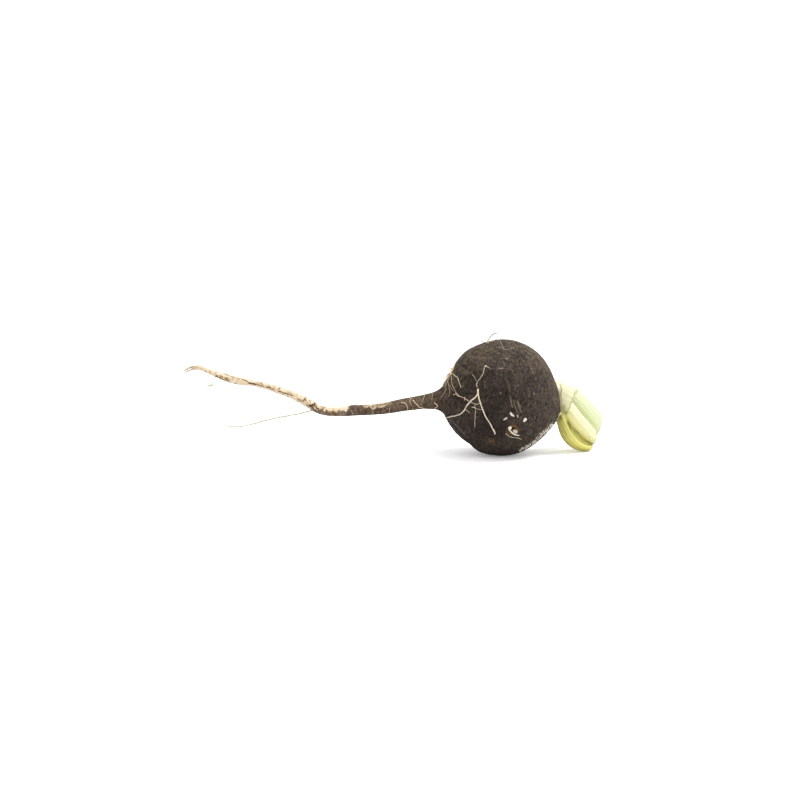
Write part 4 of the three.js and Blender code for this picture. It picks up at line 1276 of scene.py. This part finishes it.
# Each stalk has the path of its middle, the way its channelled inner side faces at its base and,
# if it twists, at its tip, its base, middle and tip width, thickness and bow, its tone and the
# number of its ribs. Some are cut off along a slant (a point, and the way out). "round" is how far
# the side edges fall back at the cut, as a share of the length, and "dry" how far from the cut, in
# millimetres, the stalk is browned.
STALKS = {
    "leaf_stalk_floor": {
        "path": [(36, 4.5, 33), (42, 3, 29.8), (45.8, 4, 22.6), (48.8, 6, 16), (53, 9, 10.6),
                 (57.8, 12, 7.8), (62.4, 14.5, 7), (68, 16.5, 6.6)],
        "faces": (0.72, -0.36, 0.6), "tip_faces": (0.45, -0.15, 0.88), "width": (11, 16, 14),
        "thickness": (4, 5.2, 4.2), "bow": (3, 5.9, 4.4),
        "cut": ((65.8, 14, 6.2), (0.9, 0, -0.43)), "round": 0.02,
        "tone": "stalk_yellow_green", "ribs": 7,
    },
    # the short stalk's browned cut end is widened (dry) into a dark line, partly a painted shadow in the
    # gap before the stalks behind
    "leaf_stalk_short": {
        "path": [(34, 2, 41.4), (42, 1.2, 38.4), (54, 3, 33.6)],
        "faces": (0.15, 0.95, 0.1), "width": (22, 21, 17), "thickness": (4.6, 4.6, 4), "dry": 0.9,
        "bow": (3, 2.6, 2.2), "cut": ((48.2, 3, 36.2), (0.93, 0, -0.37)), "tone": "stalk_pale", "ribs": 9,
    },
    "leaf_stalk_stub": {
        "path": [(29, 19.5, 42.5), (38, 23, 42), (48, 28, 39.5)],
        "faces": (0.2, -0.9, -0.35), "width": (15, 13, 10), "thickness": (4.6, 4.4, 3.8),
        "bow": (2.4, 2, 1.6), "cut": ((43.4, 26, 41), (0.75, 0.1, 0.65)), "tone": "stalk_pale", "ribs": 7,
    },
    "leaf_stalk_middle": {
        "path": [(36, 9, 37), (45, 8.5, 32.6), (51, 10.5, 25), (56.8, 13, 18.5),
                 (61.8, 15.2, 12.6), (69.2, 17.4, 6.6)],
        "faces": (0.3, 0.8, 0.4), "width": (9.6, 11.6, 9.8), "thickness": (4.8, 5.8, 4.6),
        "bow": (1.2, 2.2, 1.6), "cut": ((67.3, 16, 9.5), (0.97, 0, -0.24)), "round": 0.05,
        "tone": "stalk_pale", "ribs": 6,
    },
    "leaf_stalk_back": {
        "path": [(34, 15, 41), (44, 15.5, 41), (53, 17, 36), (61, 21.5, 27), (70, 27, 16), (74, 29, 11)],
        "faces": (0.2, 0.9, 0.35), "width": (11, 15, 16), "thickness": (4.6, 5, 4.4),
        "bow": (1.6, 2.2, 2), "cut": ((72, 26, 18.9), (0.96, 0, -0.27)), "tone": "stalk_green", "ribs": 9,
    },
    "leaf_stalk_inner": {
        "path": [(35, 12.5, 35), (43, 13, 31), (48, 16, 23), (53, 19, 15), (57.5, 21, 9.5)],
        "faces": (0.4, -0.5, 0.7), "width": (6, 7.0, 6), "thickness": (4.4, 4.6, 4),
        "bow": (0.8, 1, 0.8), "tone": "stalk_green", "ribs": 5,
    },
    "leaf_stalk_far": {
        "path": [(31, 20.5, 33), (39, 24, 32), (46, 28, 26), (52, 32, 18.5), (57, 35, 12)],
        "faces": (0.5, -0.5, 0.6), "width": (11, 11, 10), "thickness": (4.4, 4.6, 4),
        "bow": (2.2, 3, 2.6), "tone": "stalk_green", "ribs": 7,
    },
    "heart_stalk": {
        "path": [(36, 9.5, 43), (44, 9.8, 43.8), (53, 11, 43)],
        "faces": (0.1, -0.6, 0.8), "width": (6, 5.4, 3.6), "thickness": (4.6, 4.4, 3.2),
        "bow": (0.4, 0.4, 0.3), "tone": "stalk_heart", "ribs": 4,
    },
    "heart_leaf": {
        "path": [(34, 13.5, 45), (40, 15, 46.4), (44.5, 16.5, 46)],
        "faces": (0.2, -0.4, -0.9), "width": (9, 8, 5), "thickness": (3.6, 3.4, 2.8),
        "bow": (1.4, 1.4, 1), "tone": "stalk_heart", "ribs": 4,
    },
}
# Some are stains and nicks; others are painted shade where stalks meet or overlap: all of those on the
# inner and far stalks, and those about the floor stalk's foot and the top of its channel.
STALK_STAINS_AND_SHADE = {  # middle, radius and strength of the darker marks on each stalk
    "leaf_stalk_short": [((43.2, -4, 42.0), 2.8, 0.16), ((46.6, -3, 48.2), 1.4, 0.3),
                         ((40.4, -4, 37.0), 2.2, 0.42), ((41.4, -2, 33.0), 2.6, 0.66),
                         ((42.6, -2, 29.6), 2.6, 0.6), ((44.6, 0, 28.4), 1.6, 0.85)],
    "leaf_stalk_floor": [((42.4, -3, 16.0), 0.9, 0.5), ((39.4, -3, 26.4), 2.0, 0.75),
                         ((38.8, -4, 22.8), 2.0, 0.25), ((43.0, 2, 10.6), 2.0, 0.12),
                         ((47.4, 4, 6.0), 2.0, 0.18), ((53.0, 7, 3.0), 2.0, 0.15),
                         ((60.4, 9, 8.4), 1.6, 0.35), ((62.6, 9, 7.0), 1.4, 0.4),
                         ((43.8, 0, 29.4), 1.8, 0.85), ((46.6, 11, 20.0), 2.2, 0.8),
                         ((48.4, 13, 16.6), 2.2, 0.5), ((63.8, 14, 5.6), 1.8, 0.5)],
    "leaf_stalk_middle": [((61.6, 12, 10.4), 0.8, 0.2), ((44.2, 6, 28.8), 1.8, 0.75)],
    "leaf_stalk_inner": [((46.0, 15, 25.0), 4.0, 0.55), ((52.4, 19, 14.0), 4.0, 0.3)],
    "leaf_stalk_far": [((50.0, 28, 16.0), 5.0, 0.4)],
}
STALK_SIDES = 96
STALK_RINGS = 110
CAP_RINGS = 12


def stalk_section(stalk, share, turn, seed):
    """Width and depth of a stalk's outline at each share of its length and turn around it."""
    sizes = [smooth_table([(0, v[0]), (0.5, v[1]), (1, v[2])], share)
             for v in (stalk["width"], stalk["thickness"], stalk["bow"])]
    half_width, half_thickness, bow = sizes[0] / 2, sizes[1] / 2, sizes[2]
    outer = step(0.15, -0.35, np.sin(turn))
    rib = 0.5 + 0.5 * np.cos(turn * 2 * stalk["ribs"] + 0.9 * np.sin(turn * 3 + seed))
    spot = np.stack([share * 6, np.cos(turn) * 1.5, np.sin(turn) * 1.5], -1)
    swell = 1 + 0.035 * noise(spot, 1.1, seed)
    relief = 0.16 * outer * (rib - 0.5) + 0.16 * noise(spot * (1, 3, 3), 1.0, seed + 3)
    width = (half_width * swell + relief) * np.cos(turn)
    depth = (half_thickness * swell + relief) * np.sin(turn) - bow * np.sin(turn) ** 2
    # lip: the channel's paler edges, brightened as a painted highlight, less towards the tip
    lip = np.clip((np.abs(np.cos(turn)) - 0.86) / 0.14, 0, 1) * step(-0.5, 0.4, np.sin(turn))
    lip = lip * (1 - 0.6 * step(0.62, 0.86, share))
    return width, depth, outer * rib, step(0.0, 0.5, np.sin(turn)) * (1 - lip), lip


def stains_on(points, stains):
    """How strongly each point is darkened, by stains and by painted shade, from 0 to 1."""
    mark = np.zeros(len(points))
    for middle, radius, strength in stains:
        gap = np.linalg.norm((points - middle) * (1, 0.25, 1), axis=1)
        gap = gap + 0.35 * radius * noise(points, radius * 0.9, 3)
        mark = 1 - (1 - mark) * (1 - strength * np.exp(-(gap / radius) ** 2))
    return mark


def stalk_limits(stalk, surface, turn, seed):
    """The share of a stalk's length at which each of its sides is cut off."""
    limit = np.ones(STALK_SIDES)
    if "cut" in stalk:
        at, away = (np.array(v, float) for v in stalk["cut"])
        tries = np.linspace(0.2, 1, 240)
        beyond = (surface(np.repeat(tries[:, None], STALK_SIDES, 1))[0] - at) @ away > 0
        limit = np.where(beyond.any(0), tries[np.argmax(beyond, 0)], 1.0)
    ragged = noise(circle_points(turn), 0.45, seed)
    return limit - 0.010 - 0.012 * ragged - stalk.get("round", 0.02) * np.abs(np.cos(turn)) ** 6


def cut_face(points, seed):
    """Rings over a stalk's cut end, slightly dished, and how much of each is cut flesh."""
    centre = points[-1].mean(0)
    away = unit(points[-1].mean(0) - points[-6].mean(0))
    spread = np.linspace(0.97, 0.06, CAP_RINGS)[:, None, None]
    dish = 0.5 * step(1.0, 0.7, spread) - 0.15
    bundles = noise(points[-1] * 2.2, 1.0, seed + 7)[None, :, None]
    rings = centre + (points[-1] - centre) * spread - away * (dish + 0.10 * bundles * (1 - spread))
    return rings, step(1.0, 0.9, spread[:, 0, 0])


def leaf_stalk(name, stalk, seed):
    """One ribbed, channelled leaf stalk with its cut end."""
    line = catmull_rom(stalk["path"], 40)
    total = lengths_along(line)[-1]
    lengths = lengths_along(line) / total
    tangents = unit(np.gradient(line, axis=0))
    base_faces = np.array(stalk["faces"], float)
    twist = np.array(stalk.get("tip_faces", stalk["faces"]), float) - base_faces
    turn = np.arange(STALK_SIDES) * 2 * np.pi / STALK_SIDES

    def surface(share):
        """Points of the stalk at shares of its length, one for each side."""
        middle = read_line(lengths, line, share)
        tangent = unit(read_line(lengths, tangents, share))
        across = unit(np.cross(base_faces + twist * np.asarray(share)[..., None], tangent))
        inwards = np.cross(tangent, across)
        sides_turn = np.broadcast_to(turn, share.shape)
        width, depth, rib, inside, lip = stalk_section(stalk, share, sides_turn, seed)
        return middle + across * width[..., None] + inwards * depth[..., None], rib, inside, lip

    limit = stalk_limits(stalk, surface, turn, seed)
    shares = np.linspace(0, 1, STALK_RINGS)[:, None] * limit
    points, rib, inside, lip = surface(shares)
    cap, cap_cut = cut_face(points, seed)
    rings = np.concatenate([points, cap])
    flat = rings.reshape(-1, 3)
    ends = np.array([points[0].mean(0), cap[-1].mean(0)])
    shares = np.concatenate([shares, np.repeat(shares[-1:], CAP_RINGS, 0)])
    cut = np.repeat(np.r_[np.zeros(STALK_RINGS), cap_cut], STALK_SIDES)
    from_end = (limit - shares).ravel() * total
    rim = np.exp(-(from_end / stalk.get("dry", 0.5)) ** 2) * (1 - cut * 0.75)
    grain = np.stack([shares.ravel() * total,
                      np.tile(np.cos(turn), len(rings)) * stalk["width"][1] / 2,
                      np.tile(np.sin(turn), len(rings)) * stalk["thickness"][1]], -1)
    no_marks = np.zeros((CAP_RINGS, STALK_SIDES))
    floats = {label: np.concatenate([marks, no_marks]).ravel()
              for label, marks in (("rib", rib), ("inside", inside), ("lip", lip))}
    floats |= {
        "foot": step(0.30, 0.05, shares.ravel()),
        "stain": stains_on(flat, STALK_STAINS_AND_SHADE.get(name, ())),
        "cut": cut,
        "rim": rim * (0.6 + 0.4 * noise(flat, 1.2, seed)),
    }
    floats = {label: np.r_[values, values[0], values[-1]] for label, values in floats.items()}
    grain = np.vstack([grain + (seed * 31.0, 0, 0), grain[0], grain[-1]])
    tone = stalk["tone"]
    make_piece(name, np.vstack([flat, ends]), stitch_rings([STALK_SIDES] * len(rings)),
               MATERIALS[tone], [name], floats, grain)


COLLAR_SIDES = 360
COLLAR_REACH = 15.3  # how far from the crown's middle the rim stands
COLLAR_REACH_NEAR = 3.0  # and how much further on the side turned to the camera
COLLAR_PROFILE = [  # height and distance outwards of the rim's outline
    (-0.9, -0.5), (0.0, -0.35), (0.6, -0.25), (1.0, -0.12), (1.06, 0.0), (1.0, 0.12), (0.6, 0.3),
    (0.0, 0.4), (-0.9, 0.5),
]


def crown_collar():
    """The torn rim of dry skin around the crown."""
    parts = Parts()
    count = len(COLLAR_PROFILE)
    around = np.arange(COLLAR_SIDES) * 360 / COLLAR_SIDES
    circle = circle_points(np.radians(around))
    side = around - 360 * (around > 180)
    near = step(-18, -50, side) * step(-115, -85, side)
    rise = 0.9 + 0.8 * noise(circle, 0.28, 3) + 0.4 * noise(circle, 0.08, 4)
    rise = np.maximum(rise, 0.15) + near * 0.6
    rim_reach = COLLAR_REACH + COLLAR_REACH_NEAR * near
    rim_along = -0.1 - np.sqrt(GLOBE_RADIUS ** 2 - rim_reach ** 2)
    lean = 0.5 + 0.5 * noise(circle, 0.3, 6)
    rings = []
    for up, out in COLLAR_PROFILE:
        along = rim_along - np.maximum(up, -0.6) * rise
        reach = rim_reach + out + lean * np.maximum(up, 0) * 0.8
        rings.append(around_spine(along, around, reach))
    points = np.stack(rings, 1).reshape(-1, 3)
    faces = []
    for j in range(COLLAR_SIDES):
        k = (j + 1) % COLLAR_SIDES
        for i in range(count):
            n = (i + 1) % count
            faces.append((j * count + i, j * count + n, k * count + n, k * count + i))
    height = np.tile([up for up, _ in COLLAR_PROFILE], COLLAR_SIDES)
    brown = 0.72 * np.repeat(np.maximum(step(-50, -68, side), step(130, 165, side)), count)
    parts.add(points, faces, points, rim=np.maximum(step(0.85, 1.0, height), brown))
    parts.piece("crown_collar", MATERIALS["crown_collar"], "root_skin")


BUD_SCALES = [  # foot, tip, width at the foot and thickness
    ((36.5, 12.0, 39.5), (47.5, 12.0, 40.5), 4.4, 1.5),
    ((36.0, 15.5, 39.0), (46.0, 18.0, 36.5), 4.2, 1.5),
    ((37.5, 9.0, 36.5), (47.0, 10.5, 34.0), 4.0, 1.4),
    ((36.0, 14.5, 35.0), (45.5, 17.5, 31.0), 4.0, 1.4),
    ((36.5, 8.0, 32.0), (46.0, 11.0, 26.0), 4.4, 1.5),
    ((35.5, 12.5, 30.5), (45.0, 15.5, 24.5), 4.6, 1.5),
    ((34.0, 18.5, 31.0), (42.5, 23.0, 25.0), 4.4, 1.5),
    ((33.0, 21.5, 38.0), (42.0, 25.5, 37.0), 4.2, 1.4),
    ((34.0, 19.0, 42.5), (43.5, 20.0, 44.5), 4.2, 1.4),
    ((35.5, 10.5, 44.0), (42.5, 9.0, 45.5), 4.2, 1.3),
    ((34.5, 17.5, 27.5), (41.5, 20.0, 21.0), 4.6, 1.5),
    ((37.0, 5.5, 28.5), (44.0, 6.5, 21.5), 4.4, 1.4),
    ((38.0, 1.5, 34.5), (45.0, 0.5, 31.0), 4.2, 1.3),
]


BUD_SIDES = 24
BUD_RINGS = 16
BUD_ROOTING = 2.0  # how deep the scales start below the crown, in millimetres
BUD_LENGTH = 11  # about how long they are, for their grain


def bud_scales():
    """The small stubs of inner leaves that fill the crown between the stalks."""
    parts = Parts()
    turn = np.arange(BUD_SIDES) * 2 * np.pi / BUD_SIDES
    crown_middle = GLOBE_CENTRE + CROWN_AXIS * GLOBE_RADIUS
    for seed, (foot, tip, width, thickness) in enumerate(BUD_SCALES):
        foot, tip = np.array(foot) - CROWN_AXIS * BUD_ROOTING, np.array(tip)
        outward = foot - crown_middle
        outward = unit(outward - CROWN_AXIS * (outward @ CROWN_AXIS) + 1e-3)
        share = np.linspace(0, 1, BUD_RINGS)[:, None]
        line = foot + (tip - foot) * share + outward * (1.2 * np.sin(share * np.pi))
        tangent = unit(np.gradient(line, axis=0))
        across = unit(np.cross(tangent, outward))
        out = np.cross(across, tangent)
        taper = np.sqrt(np.clip(1 - share ** 2.2, 0.02, 1))
        wobble = 1 + 0.12 * noise(circle_points(turn, seed), 0.6, seed)
        w = width / 2 * taper * np.cos(turn) * wobble
        d = thickness / 2 * taper * np.sin(turn) - 0.35 * width * taper * (np.cos(turn) ** 2 - 0.5)
        points = line[:, None] + across[:, None] * w[..., None] + out[:, None] * d[..., None]
        flat = points.reshape(-1, 3)
        ends = np.array([line[0], line[-1] + tangent[-1] * 0.15])
        grain = np.stack([np.repeat(share[:, 0] * BUD_LENGTH, BUD_SIDES), w.ravel(), d.ravel()], -1)
        grain = np.vstack([grain, grain[0], grain[-1]]) + (seed * 17.0, 0, 0)
        shares = np.r_[np.repeat(share[:, 0], BUD_SIDES), 0, 1]
        parts.add(np.vstack([flat, ends]), stitch_rings([BUD_SIDES] * BUD_RINGS), grain,
                  rib=np.r_[np.tile(0.5 + 0.5 * np.cos(turn * 8), BUD_RINGS), 0, 0],
                  foot=step(0.5, 0.1, shares), rim=step(0.86, 1.0, shares), inside=0.0, cut=0.0,
                  lip=0.0, stain=0.0)
    parts.piece("bud_scales", MATERIALS["stalk_heart"], "stalk_yellow_green")


# --- The stage ----------------------------------------------------------------------------------

def add_camera():
    """The camera, looking along +Y from a little above the floor."""
    data = bpy.data.cameras.new("camera")
    data.lens = LENS_MM
    data.sensor_width = SENSOR_MM
    data.clip_end = 50
    camera = bpy.data.objects.new("camera", data)
    tilt = math.radians(CAMERA_ELEVATION)
    back = Vector((0, -math.cos(tilt), math.sin(tilt)))
    camera.location = LOOK_AT + back * CAMERA_DISTANCE
    camera.rotation_euler = (-back).to_track_quat("-Z", "Y").to_euler()
    bpy.context.scene.collection.objects.link(camera)
    bpy.context.scene.camera = camera


def add_area_light(name, location, size, power):
    """A round lamp turned towards the radish."""
    data = bpy.data.lights.new(name, "AREA")
    data.shape = "DISK"
    data.size = size
    data.energy = power
    light = bpy.data.objects.new(name, data)
    light.location = location
    light.rotation_euler = (LIGHTS_AIM - Vector(location)).to_track_quat("-Z", "Y").to_euler()
    bpy.context.scene.collection.objects.link(light)


def add_floor():
    """A pale floor that looks lighter near the radish and runs out into the backdrop."""
    half = FLOOR_SIZE / 2
    mesh = bpy.data.meshes.new("floor")
    mesh.from_pydata([(-half, -half, 0), (half, -half, 0), (half, half, 0), (-half, half, 0)], [],
                     [(0, 1, 2, 3)])
    material = bpy.data.materials.new("studio_floor")
    material.use_nodes = True
    tree = material.node_tree
    tree.nodes.clear()
    seen = place(tree, "ShaderNodeLightPath").outputs["Is Camera Ray"]
    spot = place(tree, "ShaderNodeNewGeometry").outputs["Position"]
    away = place(tree, "ShaderNodeVectorMath", {0: spot}, operation="LENGTH").outputs["Value"]
    far = between(tree, away, FLOOR_NEAR_ENDS, FLOOR_FAR_STARTS)
    near = maths(tree, "MULTIPLY", seen, maths(tree, "SUBTRACT", 1.0, far))
    tone = maths(tree, "MULTIPLY_ADD", near, FLOOR_SEEN_TONE - FLOOR_TONE, FLOOR_TONE)
    paint = place(tree, "ShaderNodeBsdfDiffuse", {"Color": tone})
    lift = maths(tree, "MULTIPLY_ADD", far, FLOOR_LIFT_FAR - FLOOR_LIFT, FLOOR_LIFT)
    glow = place(tree, "ShaderNodeEmission", {"Strength": maths(tree, "MULTIPLY", seen, lift)})
    both = place(tree, "ShaderNodeAddShader", {0: paint.outputs[0], 1: glow.outputs[0]})
    place(tree, "ShaderNodeOutputMaterial", {"Surface": both.outputs[0]})
    mesh.materials.append(material)
    floor = bpy.data.objects.new("floor", mesh)
    bpy.context.scene.collection.objects.link(floor)


def add_studio():
    """A white backdrop all around, which also lights softly, and two lamps."""
    world = bpy.data.worlds.new("studio")
    world.use_nodes = True
    tree = world.node_tree
    tree.nodes.clear()
    seen = place(tree, "ShaderNodeLightPath").outputs["Is Camera Ray"]
    strength = maths(tree, "MULTIPLY_ADD", seen, SKY_SEEN - SKY_LIGHT, SKY_LIGHT)
    sky = place(tree, "ShaderNodeBackground", {"Color": colour(1, 1, 1), "Strength": strength})
    place(tree, "ShaderNodeOutputWorld", {"Surface": sky.outputs[0]})
    bpy.context.scene.world = world
    bpy.context.scene.view_settings.view_transform = "Standard"
    for name, light in LIGHTS.items():
        add_area_light(name, **light)


# --- The making ---------------------------------------------------------------------------------

add_camera()
add_floor()
add_studio()
MATERIALS = make_materials()

root_skin()
for stalk_seed, (stalk_name, stalk_shape) in enumerate(STALKS.items()):
    leaf_stalk(stalk_name, stalk_shape, stalk_seed)
for root_name, (root_tone, root_strands) in SKIN_ROOTS.items():
    strands_piece(root_name, root_tone, "side_root", root_strands, [root_name])
for root_name, (root_tone, root_strands) in HANGING_ROOTS.items():
    strands_piece(root_name, root_tone, "side_root", root_strands, [root_name], add=strand)
strands_piece("root_hairs", "pale_root", "side_root", alike(ROOT_HAIRS, 80, crook=0.16, sides=6))
strands_piece("frayed_tip", "pale_root", "root_skin", FRAYED_TIP, add=strand)
healed_scars()
corky_scab()
crown_collar()
strands_piece("crown_flake", "yellow_root", "root_skin", CROWN_FLAKE, add=strand)
bud_scales()
